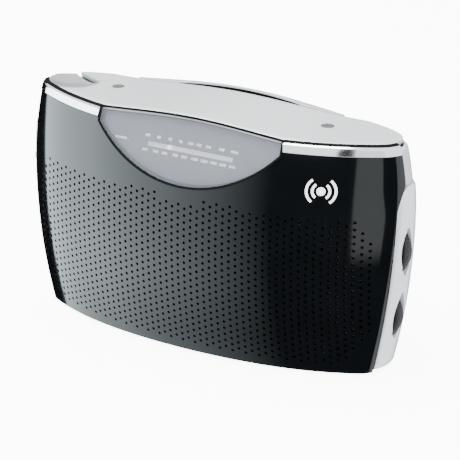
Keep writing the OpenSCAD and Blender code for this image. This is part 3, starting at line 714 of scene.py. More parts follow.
FINISHES = {
    "gloss_black_front": gloss_black,
    "chrome_trim": chrome,
    "aerial_chrome": lambda n: chrome(n, 0.86, 0.09),
    "smoked_window": lens_tint,
    "scale_grey": scale_print,
    # The pointer, scale and emblem inks glow: painted light that makes the prints brighter than their
    # lighting gives.
    "pointer_white": lambda n: ink(n, (0.92, 0.92, 0.92), 2.0),
    "scale_ink": lambda n: ink(n, (0.92, 0.93, 0.94), 1.5),
    "emblem_ink": lambda n: ink(n, (0.96, 0.96, 0.96), 1.2),
    # This dull black also serves as painted shade on the skin in the grip's slit.
    "gasket_black": dull_black,
    # The rail's glow is painted light that lifts it out of the shade in its slot.
    "rail_silver": lambda n: ink(n, (0.7, 0.71, 0.75), 0.9),
    "dial_cord_thread": lambda n: banded(n, rgb(0.5, 0.45, 0.32), rgb(0.8, 0.74, 0.58), 0, 0.0007, 0.75),
    "steel_hardware": lambda n: brushed(n, grey(0.42), grey(0.66)),
    "power_lamp": lamp,
    "satin_silver": top_lacquer_dish_shaded,
    "plug_grey": lambda n: moulding(n, grey(0.06), grey(0.1), 0.5),
    "grip_grey": lambda n: lacquer(n, rgb(0.34, 0.36, 0.36), rgb(0.44, 0.455, 0.46), 0.4, 0.3, 0.2),
    "cover_silver": lambda n: lacquer(n, rgb(0.52, 0.53, 0.54), rgb(0.64, 0.65, 0.66), 0.36, 0.3, 0.2),
    "dark_moulding": lambda n: moulding(n, grey(0.03), grey(0.075), 0.5),
    "side_trim_silver": lambda n: lacquer(n, rgb(0.78, 0.79, 0.8), rgb(0.87, 0.88, 0.9), 0.24, 0.3, 0.15,
                                          0.3),
    "wheel_black": lambda n: moulding(n, grey(0.012), grey(0.03), 0.4),
    "drum_cream": lambda n: moulding(n, rgb(0.58, 0.55, 0.45), rgb(0.76, 0.72, 0.6), 0.45, 900),
    "control_brown": lambda n: moulding(n, rgb(0.2, 0.12, 0.055), rgb(0.36, 0.23, 0.12), 0.4, 700),
    "switch_metal": lambda n: brushed(n, grey(0.45), grey(0.68), (30, 30, 1)),
    "socket_black": lambda n: moulding(n, grey(0.012), grey(0.035), 0.42),
    "basket_black": lambda n: moulding(n, grey(0.03), grey(0.07), 0.4, 1500),
    "cone_paper": pressed_paper,
    "magnet_grey": lambda n: moulding(n, grey(0.12), grey(0.24), 0.55, 1200, 0.00008),
    "board_green": solder_mask,
    "component_black": lambda n: moulding(n, grey(0.02), grey(0.07), 0.38, 1600),
    "ferrite_grey": lambda n: moulding(n, grey(0.05), grey(0.12), 0.6, 1800, 0.00006),
    "coil_copper": lambda n: banded(n, rgb(0.35, 0.13, 0.04), rgb(0.75, 0.36, 0.14), 0, 0.0005, 0.3, 0.8),
    "transformer_iron": lambda n: banded(n, rgb(0.1, 0.09, 0.08), rgb(0.3, 0.27, 0.23), 1, 0.0007, 0.5, 0.6),
    "foot_rubber": lambda n: moulding(n, grey(0.015), grey(0.035), 0.7, 1500),
    "floor_pale": pale_floor,
}
made_finishes = {}


def finish_of(name):
    """The finish of a name, built once."""
    if name not in made_finishes:
        made_finishes[name] = FINISHES[name](name)
    return made_finishes[name]


# ---- Front ---------------------------------------------------------------------------------------
HOLE_PITCH, HOLE_LOW = 4.2, 12.6
HALF_STEP = HOLE_PITCH / 2
EVEN_COLUMNS, FACE_COLUMNS, CORNER_COLUMNS = 47, 55, 5
LOWEST_LEVEL, TURN_LEVEL, FACE_ROWS = -12.5, 11.5, 66


def hole_limits(column):
    """Lowest and highest hole of a lattice column, in pitches up from the speaker's centre."""
    side = np.abs(column)
    low = np.interp(side, [23, 24, 25, 26, 27], [-11.0, -10.5, -9.0, -7.5, -6.0])
    high = np.interp(side, [3, 4, 25, 26, 27], [10.0, 11.0, 10.6, 9.5, 8.0])
    return low, high


def panel_reach(z):
    """How far round the corner the black face runs before the side trims begin."""
    return 1.36 + 0.36 * np.clip((z - 101) / 17, 0, 1) ** 1.5


def face_across(column, z):
    """Place across the face of a small column: even steps, then steps that fit, then the corner."""
    edge, _ = front_run(panel_reach(z), z)
    even = EVEN_COLUMNS * HALF_STEP
    fitted = FACE_COLUMNS - EVEN_COLUMNS
    step = np.minimum(HALF_STEP, (edge - 2.0 - even) / fitted)
    last = even + step * fitted
    side = np.abs(column)
    x = np.where(side <= EVEN_COLUMNS, side * HALF_STEP, even + (side - EVEN_COLUMNS) * step)
    t = np.clip((side - FACE_COLUMNS) / CORNER_COLUMNS, 0, 1)
    return np.sign(column) * np.where(side <= FACE_COLUMNS, x, last + (edge - last) * np.sqrt(t * (2 - t)))


def face_grid(column, level):
    """Small grid over the face, and its upper edge. Rows over TURN_LEVEL are squeezed to end there."""
    z = HOLE_PITCH * (level + HOLE_LOW) + FLOOR_Z
    z[0] = FLOOR_Z
    z_turn = HOLE_PITCH * (TURN_LEVEL + HOLE_LOW) + FLOOR_Z
    column, z = np.meshgrid(column, z, indexing="ij")
    x = face_across(column, z)
    top = np.where(np.abs(x) < WINDOW_HALF_W + 0.3, np.minimum(arc_z(x), BAND_Z) - 0.3, BAND_Z - 0.3)
    above = z > z_turn
    share = np.clip((z - z_turn) / (z[0, -1] - z_turn), 0, 1)
    z = np.where(above, z_turn + share * (top - z_turn), z)
    x = np.where(above & (np.abs(column) > FACE_COLUMNS), face_across(column, z), x)
    return x, z, top


def hole_middles(column, level, z, top):
    """Which points of the small grid are middles of holes: every other point of every other column."""
    column, steps_up = np.meshgrid(column, np.round(level * 2), indexing="ij")
    pair = column // 2
    low, high = hole_limits(pair)
    height = (z - FLOOR_Z) / HOLE_PITCH - HOLE_LOW
    middle = (column % 2 == 0) & (np.abs(column) <= FACE_COLUMNS) & (np.mod(steps_up + pair % 2, 2) == 0)
    middle &= (height >= low - 0.1) & (height <= high + 0.1) & (z + 2.6 < top)
    middle[:2] = middle[-2:] = False
    middle[:, :1] = middle[:, -2:] = False
    return np.nonzero(middle)


def perforated_front(radius, wall):
    """Black face: a lattice of eight-sided holes, set in a sheet that follows the case's front.

    The sheet's small grid has half the hole pitch. A cell of two by two small squares round each
    lattice point is replaced by a ring of eight quads round the hole. Rows above the lattice are
    squeezed in height to end along the window's arc, and columns beyond it to end at the trims.
    """
    column = np.arange(-FACE_COLUMNS - CORNER_COLUMNS, FACE_COLUMNS + CORNER_COLUMNS + 1)
    level = LOWEST_LEVEL + 0.5 * np.arange(FACE_ROWS)
    x, z, top = face_grid(column, level)
    hole_i, hole_j = hole_middles(column, level, z, top)
    number = np.arange(x.size).reshape(x.shape)
    taken = np.zeros((len(column) - 1, len(level) - 1), bool)
    for di, dj in ((-1, -1), (-1, 0), (0, -1), (0, 0)):
        taken[hole_i + di, hole_j + dj] = True
    free_i, free_j = np.nonzero(~taken)
    plain = np.stack([number[free_i, free_j], number[free_i + 1, free_j],
                      number[free_i + 1, free_j + 1], number[free_i, free_j + 1]], axis=1)
    around = np.array([(1, 0), (1, 1), (0, 1), (-1, 1), (-1, 0), (-1, -1), (0, -1), (1, -1)])
    outer = number[hole_i[:, None] + around[:, 0], hole_j[:, None] + around[:, 1]]
    angle = np.arctan2(around[:, 1], around[:, 0])
    rim_x = x[hole_i, hole_j][:, None] + radius * np.cos(angle)
    rim_z = z[hole_i, hole_j][:, None] + radius * np.sin(angle)
    inner = number.size + np.arange(rim_x.size).reshape(rim_x.shape)
    ring = np.stack([outer, np.roll(outer, -1, axis=1), np.roll(inner, -1, axis=1), inner], axis=-1)
    all_x = np.concatenate([x.reshape(-1), rim_x.reshape(-1)])
    all_z = np.concatenate([z.reshape(-1), rim_z.reshape(-1)])
    used = np.ones(all_x.size, bool)
    used[number[hole_i, hole_j]] = False
    renumber = np.cumsum(used) - 1
    faces = renumber[np.concatenate([plain, ring.reshape(-1, 4)])]
    skin = np.stack([all_x, front_at(all_x, all_z), all_z], axis=-1)[used]
    back = skin + [0, wall, 0]
    back[:, 0] *= 1 - np.clip((np.abs(skin[:, 0]) - 100) / 100, 0, 0.2) * wall / 12
    return solid_sheet("front_panel", skin, back, faces)


def carried(side, profile):
    """A profile of (height, distance out) pairs carried along the front from the window to the corner."""
    s = side * np.linspace(BAND_START, BAND_END, 60)[::side]
    z = profile[:, 0][:, None] + 0 * s
    x, y = front_moved(s[None, :] + 0 * z, z, profile[:, 1][:, None])
    return np.stack([x, y, z], axis=-1)


def band_piece(side):
    """Plated band: the front outline from the window to the corner, carried along a rounded profile."""
    profile = np.array([(BAND_Z + 0.05, -0.5), (BAND_Z + 0.1, 0.2), (BAND_Z + 0.45, 0.5),
                        (BAND_Z + 2.4, 0.28), (BAND_Z + 4.5, 0.0), (BAND_Z + 4.75, -0.25),
                        (BAND_Z + 4.85, -0.6), (BAND_Z + 5.3, -0.8), (RIM_Z - 0.35, -EDGE_INSET + 0.35)])
    inner = carried(side, np.stack([profile[:, 0], np.full(len(profile), -3.3)], axis=1))
    inner[..., 2] -= np.where(inner[..., 2] > RIM_Z - 1, 1, 0)
    name = "chrome_band_right" if side > 0 else "chrome_band_left"
    return solid_grid(name, carried(side, profile), inner)


def rim_seam():
    """Dark seam between the plated bands and the top plate, from the window round each corner."""
    profile = np.array([(RIM_Z - 1.05, -0.75), (RIM_Z - 0.75, -1.1), (RIM_Z - 0.45, -1.8),
                        (RIM_Z - 0.2, -2.5), (RIM_Z - 0.15, -2.95)])
    return joined("rim_seam", [
        solid_grid("seam", carried(side, profile) + [0, 0, 0.12],
                   carried(side, profile - [0, 0.5]) - [0, 0, 0.4])
        for side in (1, -1)])


def grip_front(x):
    """Front of the grip: the chord, and the slit's bulge behind it as a cosine to the power 0.7."""
    share = np.clip(x / SLIT_HALF_W, -1, 1)
    return CHORD_Y + 0.3 + SLIT_DEPTH * np.cos(np.radians(90 * share)) ** 0.7


def slit_shade_liner():
    """Painted shade in the slit: a thin black skin on the grip's front face, where the plate curves away,
    standing for the shadow in the gap.
    """
    low = 125
    x = np.linspace(0.5 - SLIT_HALF_W, SLIT_HALF_W - 0.5, 60)
    t = np.linspace(0, 1, 8)
    z = low + t[:, None] * (crown_z(x) - 0.45 - low)[None, :]
    x = np.repeat(x[None, :], len(t), axis=0)
    y = grip_front(x)
    return solid_grid("slit_shade_liner", np.stack([x, y - 0.14, z], axis=-1), np.stack([x, y - 0.04, z], axis=-1))


def window_grid(inset, depth, across=90, up=12):
    """Points over the window between its arc and the crown."""
    half = WINDOW_HALF_W - inset
    x = np.linspace(-half, half, across)
    t = np.linspace(0, 1, up)
    low = arc_z(x) + inset
    high = crown_z(x) - 0.5 - inset
    z = low[None, :] + t[:, None] * (high - low)[None, :]
    return window_point(np.repeat(x[None, :], up, axis=0), z, depth)


def gasket():
    """Thin black line round the window: a square cord along its outline."""
    half = WINDOW_HALF_W
    x = np.linspace(-half, half, 120)
    low = np.stack([x, arc_z(x)], axis=1)
    high = np.stack([x[::-1], crown_z(x[::-1]) - 0.5], axis=1)
    path = np.concatenate([low, high])
    ahead = np.roll(path, -1, axis=0) - np.roll(path, 1, axis=0)
    ahead /= np.linalg.norm(ahead, axis=1)[:, None] + 1e-9
    out = np.stack([ahead[:, 1], -ahead[:, 0]], axis=1)
    rings = []
    for shift, depth in ((0.3, -0.35), (0.3, 2.4), (-0.95, 2.4), (-0.95, -0.25)):
        moved_path = path + out * shift
        rings.append(window_point(moved_path[:, 0], moved_path[:, 1], depth))
    ring = np.stack(rings + rings[:1])
    return tidy(make_mesh("window_gasket", ring, grid_faces(*ring.shape[:2], wrap=True)))


def lettering(words, x, z, size):
    """Words laid flat on the scale plate, centred on x with their middle at height z."""
    curve = bpy.data.curves.new("words", "FONT")
    curve.body = words
    curve.size = size
    curve.align_x = "CENTER"
    curve.align_y = "CENTER"
    curve.resolution_u = 2
    curve.extrude = PRINT_THICKNESS / 2
    text = bpy.data.objects.new("words", curve)
    bpy.context.scene.collection.objects.link(text)
    bpy.context.view_layer.update()
    graph = bpy.context.evaluated_depsgraph_get()
    mesh = bpy.data.meshes.new_from_object(text.evaluated_get(graph))
    flat = np.zeros(len(mesh.vertices) * 3)
    mesh.vertices.foreach_get("co", flat)
    flat = flat.reshape(-1, 3)
    lean = math.hypot(1, WINDOW_SLOPE)
    points = window_point(x + flat[:, 0], z + flat[:, 1] / lean, PRINT_DEPTH - flat[:, 2])
    faces = [tuple(face.vertices) for face in mesh.polygons]
    bpy.data.objects.remove(text)
    return make_mesh("words", points, faces)


def wave_emblem(x0, z0, size):
    """Generic broadcast mark: a dot with two pairs of arcs, laid on the curved face.

    Each part is a flat band in x and z, carried onto the face and raised a tenth of a millimetre.
    """
    parts = []

    def band(radius, width, start, end, steps):
        angle = np.radians(np.linspace(start, end, steps))
        rim = np.array([radius - width / 2, radius, radius + width / 2])
        r, a = np.meshgrid(rim, angle, indexing="ij")
        x, z = x0 + size * r * np.cos(a), z0 + size * r * np.sin(a)
        y = front_at(x, z)
        top = np.stack([x, y - 0.1, z], axis=-1)
        parts.append(tidy(solid_grid("mark", top, top + [0, 0.09, 0])))

    band(0.13, 0.26, 0, 360, 33)
    for radius in (0.5, 0.85):
        band(radius, 0.15, -52, 52, 21)
        band(radius, 0.15, 128, 232, 21)
    return joined("front_emblem", parts)


# ---- Top, grip and sides --------------------------------------------------------------------------
def rounded_box(name, low, high, radius, axis="Z", turn=0.0, about=(0, 0), steps=6):
    """A prism with rounded corners, used as a cutter, turned about the vertical where asked."""
    flat = {"X": (1, 2), "Y": (0, 2), "Z": (0, 1)}[axis]
    lift = "XYZ".index(axis)
    a0, b0, a1, b1 = low[flat[0]], low[flat[1]], high[flat[0]], high[flat[1]]
    corners = [(a1 - radius, b1 - radius, 0), (a0 + radius, b1 - radius, 90),
               (a0 + radius, b0 + radius, 180), (a1 - radius, b0 + radius, 270)]
    arc = np.linspace(0, 90, steps)
    outline = np.concatenate([
        np.stack([ca + radius * np.cos(np.radians(start + arc)),
                  cb + radius * np.sin(np.radians(start + arc))], axis=1)
        for ca, cb, start in corners])
    rings = np.zeros((2, len(outline), 3))
    rings[:, :, flat[0]] = outline[:, 0]
    rings[:, :, flat[1]] = outline[:, 1]
    rings[0, :, lift] = low[lift]
    rings[1, :, lift] = high[lift]
    c, s = math.cos(math.radians(turn)), math.sin(math.radians(turn))
    px, py = rings[..., 0] - about[0], rings[..., 1] - about[1]
    rings[..., 0] = about[0] + c * px - s * py
    rings[..., 1] = about[1] + s * px + c * py
    return tidy(capped_tube(name, rings))


def recess_cutter(name, front_gap, side_gap):
    """The aerial recess: a turned box over the rear left corner, drawn in at its front and sides."""
    x, y = RECESS
    return rounded_box(name, (x - 22 + side_gap, y - 15 + front_gap, RIM_Z - 9.5),
                       (x + 22 - side_gap, y + 17, RIM_Z + 12), 3, "Z", RECESS_TURN, RECESS)


def rim_front_point(s):
    """Front edge of the top: along the window's plane in the middle and inside the band beyond it."""
    x, y = front_moved(s, RIM_Z + 0 * s, -EDGE_INSET)
    return x, np.where(np.abs(x) < WINDOW_HALF_W, window_y(crown_z(x)) + 0.6, y)


def top_height(x, y):
    """Crown height less a shallow scoop, the cap of a sphere let into the plate at its left end."""
    r2 = (x - DISH[0]) ** 2 + (y - DISH[1]) ** 2
    scoop = np.sqrt(np.clip(DISH_SPHERE ** 2 - r2, 0, None)) - math.sqrt(DISH_SPHERE ** 2 - DISH_R ** 2)
    past_slot = (x - SLOT_START[0]) * SLOT_ACROSS[0] + (y - SLOT_START[1]) * SLOT_ACROSS[1]
    return crown_z(x) - np.where(past_slot < 1.2, np.clip(scoop, 0, None), 0)


def top_solid(name):
    """The top plate before any cut: strips from the front edge to the back, with rolled edges."""
    count = 150
    u = np.linspace(0, 1, count)
    fx, fy = rim_front_point(u * 3.92 - 1.96)
    a = np.radians(177 - 174 * u)
    plate_w = half_width(RIM_Z) - EDGE_INSET
    bx = plate_w * np.sign(np.cos(a)) * np.abs(np.cos(a)) ** (2 / REAR_POWER)
    by = np.minimum(CHORD_Y - 0.15, back_curve_y(bx))
    t = np.concatenate([[0, 0.006, 0.015, 0.03], np.linspace(0.06, 0.94, 34), [0.97, 0.985, 0.994, 1]])
    drop = np.concatenate([[1.25, 0.62, 0.25, 0.06], np.zeros(34), [0.06, 0.25, 0.62, 1.25]])
    x = fx[None, :] + t[:, None] * (bx - fx)[None, :]
    y = fy[None, :] + t[:, None] * (by - fy)[None, :]
    z = top_height(x, y) - drop[:, None]
    outer = np.stack([x, y, z], axis=-1)
    pull = 1 - 0.5 / np.hypot(x, y)
    inner = np.stack([x * pull, y * pull, np.minimum(z - 1.6, crown_z(x) - 3)], axis=-1)
    return solid_grid(name, outer, inner)


def top_plate():
    """Top plate with its scoop, less the aerial recess and the two plug holes."""
    cutters = [recess_cutter("cut", 0, 0)]
    cutters += [prism("cut", disc_outline(x, PLUG_Y, 4.0), 120, 160, "Z") for x in (-PLUG_X, PLUG_X)]
    return bevelled(carved(top_solid("top_plate"), cutters), 0.25, 2, 50)


def recess_tray():
    """Lid of the aerial recess: what the recess leaves of plate and cover, behind a dark slot."""
    lid = kept(top_solid("lid"), recess_cutter("hold", 2.4, 0.35))
    skirt = kept(cover_solid("skirt"), recess_cutter("hold", 2.4, 0.35))
    return joined("aerial_recess_tray", [bevelled(lid, 0.3, 2, 50), bevelled(skirt, 0.3, 2, 50)])


def screw_plug(x):
    """Domed plug with a fine ring groove and a small moulding mark in its middle."""
    z = float(crown_z(np.array(PLUG_X)))
    profile = [(0, z - 2.8), (3.8, z - 2.8), (3.88, z - 0.5), (3.6, z - 0.12), (3.1, z - 0.1),
               (3.0, z - 0.3), (2.8, z - 0.3), (2.7, z - 0.08), (0.9, z + 0.02), (0.8, z - 0.2), (0, z - 0.2)]
    return turned("plug", profile, (x, PLUG_Y, 0), "Z", 64)


def grip_bar():
    """Grip: a closed ring section between the slit and the back of the case, carried along x."""
    x = np.linspace(-GRIP_HALF_W, GRIP_HALF_W, 96)
    front = grip_front(x)
    back = np.maximum(back_curve_y(x), front + 1.6)
    top = crown_z(x) + 0.5 - 0.9 * (x / GRIP_HALF_W) ** 4
    foot = 124.4
    upper = [(0, 1.1), (0.02, 0.55), (0.07, 0.18), (0.14, 0.02), (0.35, 0), (0.6, 0.05), (0.8, 0.3),
             (0.93, 1.0), (0.99, 2.0), (1.0, 3.2)]
    section = [(0, foot + 0 * x)] + [(share, top - drop) for share, drop in upper]
    section += [(1.0, foot + 0 * x), (0.5, foot - 0.4 + 0 * x)]
    ring = np.stack([np.stack([x, front + share * (back - front), level], axis=-1)
                     for share, level in section], axis=1)
    return tidy(capped_tube("handle_grip_bar", ring[:, ::-1]))


def oval_cutter(z):
    """Pointed oval, two arcs meeting at its top and bottom, carried outwards through the right side."""
    half, r = 15.0, 30.0
    reach = math.degrees(math.asin(half / r))
    arc = np.radians(np.linspace(-reach, reach, 24))
    offset = math.sqrt(r * r - half * half) - 0.6
    right = np.stack([WHEEL_MID - offset + r * np.cos(arc), z + r * np.sin(arc)], axis=1)
    left = np.stack([WHEEL_MID + offset - r * np.cos(arc), z - r * np.sin(arc)], axis=1)
    outline = np.concatenate([right[right[:, 0] > WHEEL_MID], left[left[:, 0] < WHEEL_MID]])
    return prism("cut", outline, 100, 145, "X")


def side_trim(side):
    """Bulged insert: its columns run from the corner round the side, its rows from foot to shoulder.

    The bulge is a sine to the power 0.8 that rises from the corner, drops at the rear end as a square
    root, and is rounded down along the foot and the shoulder by a quarter circle.
    """
    rows, cols = 60, 64
    foot, bulge_height, edge_drop = 3, 1.3, 0.8
    v = np.linspace(TRIM_START, 1, cols)
    t = np.linspace(0, 1, rows)
    top = TRIM_TOP - 0.3 - 14 * (np.clip(-v, 0, 1) / 0.62) ** 3 - 0.8 * np.clip(v, 0, 1)
    z = foot + t[:, None] * (top - foot)[None, :]
    vv = np.repeat(v[None, :], rows, axis=0)
    soft = np.clip(np.minimum(t, 1 - t)[:, None] * 115 / 2.2, 0, 1)
    bulge = bulge_height * np.sin(np.radians(90 * np.clip((vv - TRIM_START) / 0.5, 0, 1))) ** 0.8
    bulge = bulge * np.where(vv > 0.93, np.clip((1 - vv) / 0.07, 0, 1) ** 0.5, 1)
    bulge = bulge - edge_drop * (1 - np.sqrt(1 - (1 - soft) ** 2))
    angle = np.where(vv < 0, vv * CORNER_TURN, vv * TRIM_END)
    x, y = round_moved(angle, z, bulge)
    outer = np.stack([x * side, y, z], axis=-1)
    deep = np.where(vv < 0, -0.5 + 1.6 * (vv / TRIM_START - 1), -TRIM_STEP + 0.5)
    x, y = round_moved(angle, z, deep)
    inner = np.stack([x * side, y, z], axis=-1)
    if side < 0:
        outer, inner = outer[:, ::-1], inner[:, ::-1]
    return solid_grid("side_trim_right" if side > 0 else "side_trim_left", outer, inner)


def right_trim():
    """Right insert with an oval opening and a slot for each thumbwheel."""
    cutters = [oval_cutter(z) for z in (TUNING_Z, VOLUME_Z)]
    cutters += [prism("cut", disc_outline(x, z, WHEEL_R + 0.5, 96), 0.2, 6.8, "Y")
                for x, z in ((TUNING_X, TUNING_Z), (VOLUME_X, VOLUME_Z))]
    return bevelled(carved(side_trim(1), cutters), 0.35, 2, 50)


def left_trim():
    """Left insert with the band switch's slot and the headphone socket's hole."""
    switch = rounded_box("cut", (-140, 2, 86), (-110, 8, 102), 1.2, "X")
    socket = prism("cut", disc_outline(6, 50, 4.1), -140, -100, "X")
    return bevelled(carved(side_trim(-1), [switch, socket]), 0.35, 2, 50)


def thumbwheel(name, x, z):
    """Knurled wheel: rolled edge with fine teeth, a sunk face on each side and a bored hub."""
    w = WHEEL_R
    low = [(3.05, 0), (7, 0), (7.3, 0.9), (w - 3.2, 0.9), (w - 2.9, 0.15), (w - 0.9, 0), (w - 0.2, 0.5),
           (w, 1.0)]
    high = [(radius, WHEEL_T - along) for radius, along in reversed(low)]
    return turned(name, low + [(w, WHEEL_T / 2)] + high, (x, 0.5, z), "Y", 432, 72, 0.7, w - 0.5)


def cover_depth(a, z):
    """How far the cover's skin lies inside the outline: flush, or stepped in behind the side trims."""
    from_side = np.minimum(a, 180 - a)
    blend = np.clip((from_side - TRIM_END) / 3, 0, 1)
    return np.where(z > TRIM_TOP, 0, TRIM_STEP * (1 - blend))


def cover_solid(name):
    """The rear cover before any cut: the outline round the back in close steps."""
    a = np.concatenate([np.linspace(-15, 0, 7)[:-1], np.linspace(0, 180, 121), np.linspace(180, 195, 7)[1:]])
    z = np.concatenate([[FLOOR_Z + 2.4, FLOOR_Z + 2.7, FLOOR_Z + 3.6], np.linspace(10, TRIM_TOP - 0.3, 18),
                        np.linspace(TRIM_TOP + 0.3, RIM_Z - 5, 6), [RIM_Z - 4.2, RIM_Z - 3.6, RIM_Z - 3.4]])
    soft = np.concatenate([[0.9, 0.3, 0], np.zeros(24), [0.15, 0.5, 1.0]])
    aa, zz = np.meshgrid(a, z)
    depth = 0.2 + cover_depth(aa, zz) + soft[:, None]
    x, y = round_moved(aa, zz, -depth)
    outer = np.stack([x, y, zz], axis=-1)
    low = zz - np.where(np.abs(zz - TRIM_TOP) < 1, 2.6, 0)
    x, y = round_moved(aa, low, -(0.2 + WALL + cover_depth(aa, zz)))
    inner = np.stack([x, y, low], axis=-1)
    return solid_grid(name, outer, inner)


def rear_cover():
    """Rear cover with its openings for the grip, door, aerial, switch, sockets and wheels."""
    hand_opening = rounded_box("cut", (-60.3, 20, 94.7), (60.3, 60, 123.3), 4, "Y")
    grip_seat = slab((-71, CHORD_Y - 0.2, 123.2), (71, 60, 150))
    door_opening = rounded_box("cut", (-53.5, 29.4, -10), (53.5, 60, 66.5), 3, "Y")
    aerial_recess = recess_cutter("cut", 0, 0)
    bracket_slot = rounded_box("cut", (-109.5, 20, 118.5), (-84.5, 60, 170), 2, "Y")
    switch_slot = slab((-140, -3, 84), (-100, 9, 104))
    socket_slot = slab((-140, -1, 44), (-100, 12.5, 56))
    inlet_opening = rounded_box("cut", (-80.3, 20, 12.2), (-55.7, 60, 28.8), 1.5, "Y")
    wheel_slots = [slab((100, -3, level - WHEEL_R - 0.6), (140, 7.3, level + WHEEL_R + 0.6))
                   for level in (TUNING_Z, VOLUME_Z)]
    cutters = [hand_opening, grip_seat, door_opening, aerial_recess, bracket_slot, switch_slot,
               socket_slot, inlet_opening] + wheel_slots
    return bevelled(carved(cover_solid("rear_cover"), cutters), 0.4, 2, 50)


def battery_door():
    """Battery door: the back's own curve with a rolled edge, raised ribs and two hinge knuckles."""
    rows, cols = 70, 80
    t = np.linspace(0, 1, rows)
    c = np.linspace(0, 1, cols)
    x = np.repeat((DOOR_HALF_W * (1 - 2 * c))[None, :], rows, axis=0)
    z = np.repeat((DOOR_LOW + t * (DOOR_HIGH - DOOR_LOW))[:, None], cols, axis=1)
    share = np.abs(x) / half_width(z)
    y = CORNER_Y + (back_depth(z) - CORNER_Y) * (1 - share ** REAR_POWER) ** (1 / REAR_POWER)
    edge = np.minimum(DOOR_HALF_W - np.abs(x), np.minimum(z - DOOR_LOW, DOOR_HIGH - z))
    roll = 0.6 * (1 - np.sqrt(1 - (1 - np.clip(edge / 0.8, 0, 1)) ** 2))
    ribs = np.where((np.abs(x) < RIB_HALF_W) & (z > 44) & (z < 60),
                    0.5 * (0.5 + 0.5 * np.cos(z * 2 * np.pi / 2.4)), 0)
    fade = np.clip((RIB_HALF_W - np.abs(x)) / 3, 0, 1)
    outer = np.stack([x, y - 0.2 - roll - ribs * fade, z], axis=-1)
    inner = np.stack([x, y - 2.3, z], axis=-1)
    pieces = [solid_grid("skin", outer, inner)]
    for mid in (-30, 30):
        knuckle = prism("knuckle", disc_outline(*DOOR_PIN, 1.85, 32), mid - 5, mid + 5, "X")
        bore = prism("cut", disc_outline(*DOOR_PIN, 0.85, 24), mid - 9, mid + 9, "X")
        pieces.append(bevelled(carved(knuckle, [bore]), 0.2, 2, 50))
        pieces.append(rounded_box("arm", (mid - 5, 31.9, 11.3), (mid + 5, 33.6, 13.2), 0.4, "Z"))
    return joined("battery_door", pieces)


def hand_well():
    """Finger hollow behind the grip: an open tray with rounded corners and drafted walls."""
    outside = rounded_box("hand_well", (-60, 10, 95), (60, 39, 123), 3.5, "Y", steps=8)
    inside = rounded_box("cut", (-58, 12, 97), (58, 60, 121), 5, "Y", steps=8)
    well = carved(outside, [inside])
    a = np.linspace(0, 360, 181)[:-1]
    z = np.array([90.0, 130.0])
    aa, zz = np.meshgrid(a, z)
    x, y = rear_run(np.clip(aa, 0, 180), 109 + 0 * zz)
    x = np.where(aa > 180, 110 * np.cos(np.radians(aa)), x * 0.997)
    y = np.where(aa > 180, 8 + 25 * np.sin(np.radians(aa)), y - 0.35)
    outline = tidy(capped_tube("outline", np.stack([x, y, zz], axis=-1)))
    return bevelled(kept(well, outline), 0.6, 3, 50)


def refined(node, width):
    """A copy of a CAD node with doubles merged and its edges rounded."""
    piece = bpy.data.objects.new(node + "_shown", NODES[node].data.copy())
    bpy.context.scene.collection.objects.link(piece)
    tidy(piece)
    return bevelled(piece, width, 2, 35)


def aerial_section(name, r, start, end, hollow=True):
    """One tube of the aerial with a closed foot: thin-walled with a rolled lip, or solid."""
    profile = [(0, start), (r - 0.25, start), (r - 0.02, start + 0.3)]
    if hollow:
        profile += [(r - 0.02, end - 1.6), (r - 0.16, end - 1.3), (r - 0.16, end - 0.5), (r - 0.3, end - 0.1),
                    (r - TUBE_WALL, end - 0.05), (r - TUBE_WALL, start + 1.2), (0, start + 1.2)]
    else:
        profile += [(r - 0.02, end - 0.3), (r - 0.3, end), (0, end)]
    return turned(name, profile, (0, AERIAL_Y, AERIAL_Z), "X", 64)


def aerial_bracket():
    """Bracket under the recess, with a cheek on each side that closes the gap to the cover."""
    cheeks = [rounded_box("cheek", (x, 19.5, AERIAL_Z - 7.5), (x + 1.4, back, AERIAL_Z + 5.8), 0.4, "X")
              for x, back in ((-108.9, 25.0), (-86.5, 31.4))]
    return joined("aerial_bracket", [refined("aerial_bracket", 0.5)] + cheeks)


def first_tube():
    """Outer tube of the aerial and the flat tongue that hangs it on its pin."""
    tongue = rounded_box("tongue", (AERIAL_X - 2.4, AERIAL_Y - 1.4, AERIAL_Z - 1.6),
                         (AERIAL_X + 7.5, AERIAL_Y + 1.4, AERIAL_Z + 1.6), 1.1, "Y")
    bore = prism("cut", disc_outline(AERIAL_X, AERIAL_Z, 1.1, 32), AERIAL_Y - 9, AERIAL_Y + 9, "Y")
    return joined("aerial_tube_1", [aerial_section("tube", TUBE_R, AERIAL_X + 6, AERIAL_END),
                                    bevelled(carved(tongue, [bore]), 0.2)])


def aerial_tip():
    """Rounded knob on the aerial's end, with a finger groove."""
    profile = [(0, 0), (2.6, 0), (2.85, 0.25), (2.85, 0.9), (2.6, 1.1), (2.6, 1.5), (2.85, 1.7), (2.85, 3.0),
               (2.5, 3.9), (1.6, 4.4), (0, 4.6)]
    return turned("aerial_tip", profile, (AERIAL_END + 2.4, AERIAL_Y, AERIAL_Z), "X", 64)


# ---- Studio ---------------------------------------------------------------------------------------
def glow(name, colour, make_strength):
    """Emission whose strength is worked out from object coordinates."""
    f = Finish(name)
    strength = make_strength(*f.axes(f.place()))
    light = f.node("ShaderNodeEmission", None, {"Color": colour, "Strength": strength})
    f.tree.links.new(light.socket, f.output.inputs["Surface"])
    return f.material


def card(name, start, end, low, high, material, radius=1.6):
    """Curved reflector: part of a cylinder round the radio, from one bearing to another.

    A bearing is the angle in degrees from straight ahead of the front, positive to the left.
    It is seen only in reflections, so it may pass below the floor.
    """
    a = np.radians(np.linspace(start, end, 48))
    z = np.linspace(low, high, 12)
    aa, zz = np.meshgrid(a, z)
    points = np.stack([-radius * np.sin(aa), -radius * np.cos(aa), zz], axis=-1) / MM
    piece = make_mesh(name, points, grid_faces(12, 48))
    piece.data.materials.append(material)
    piece.visible_camera = False
    piece.visible_diffuse = False
    piece.visible_shadow = False
    piece.visible_transmission = False
    return piece


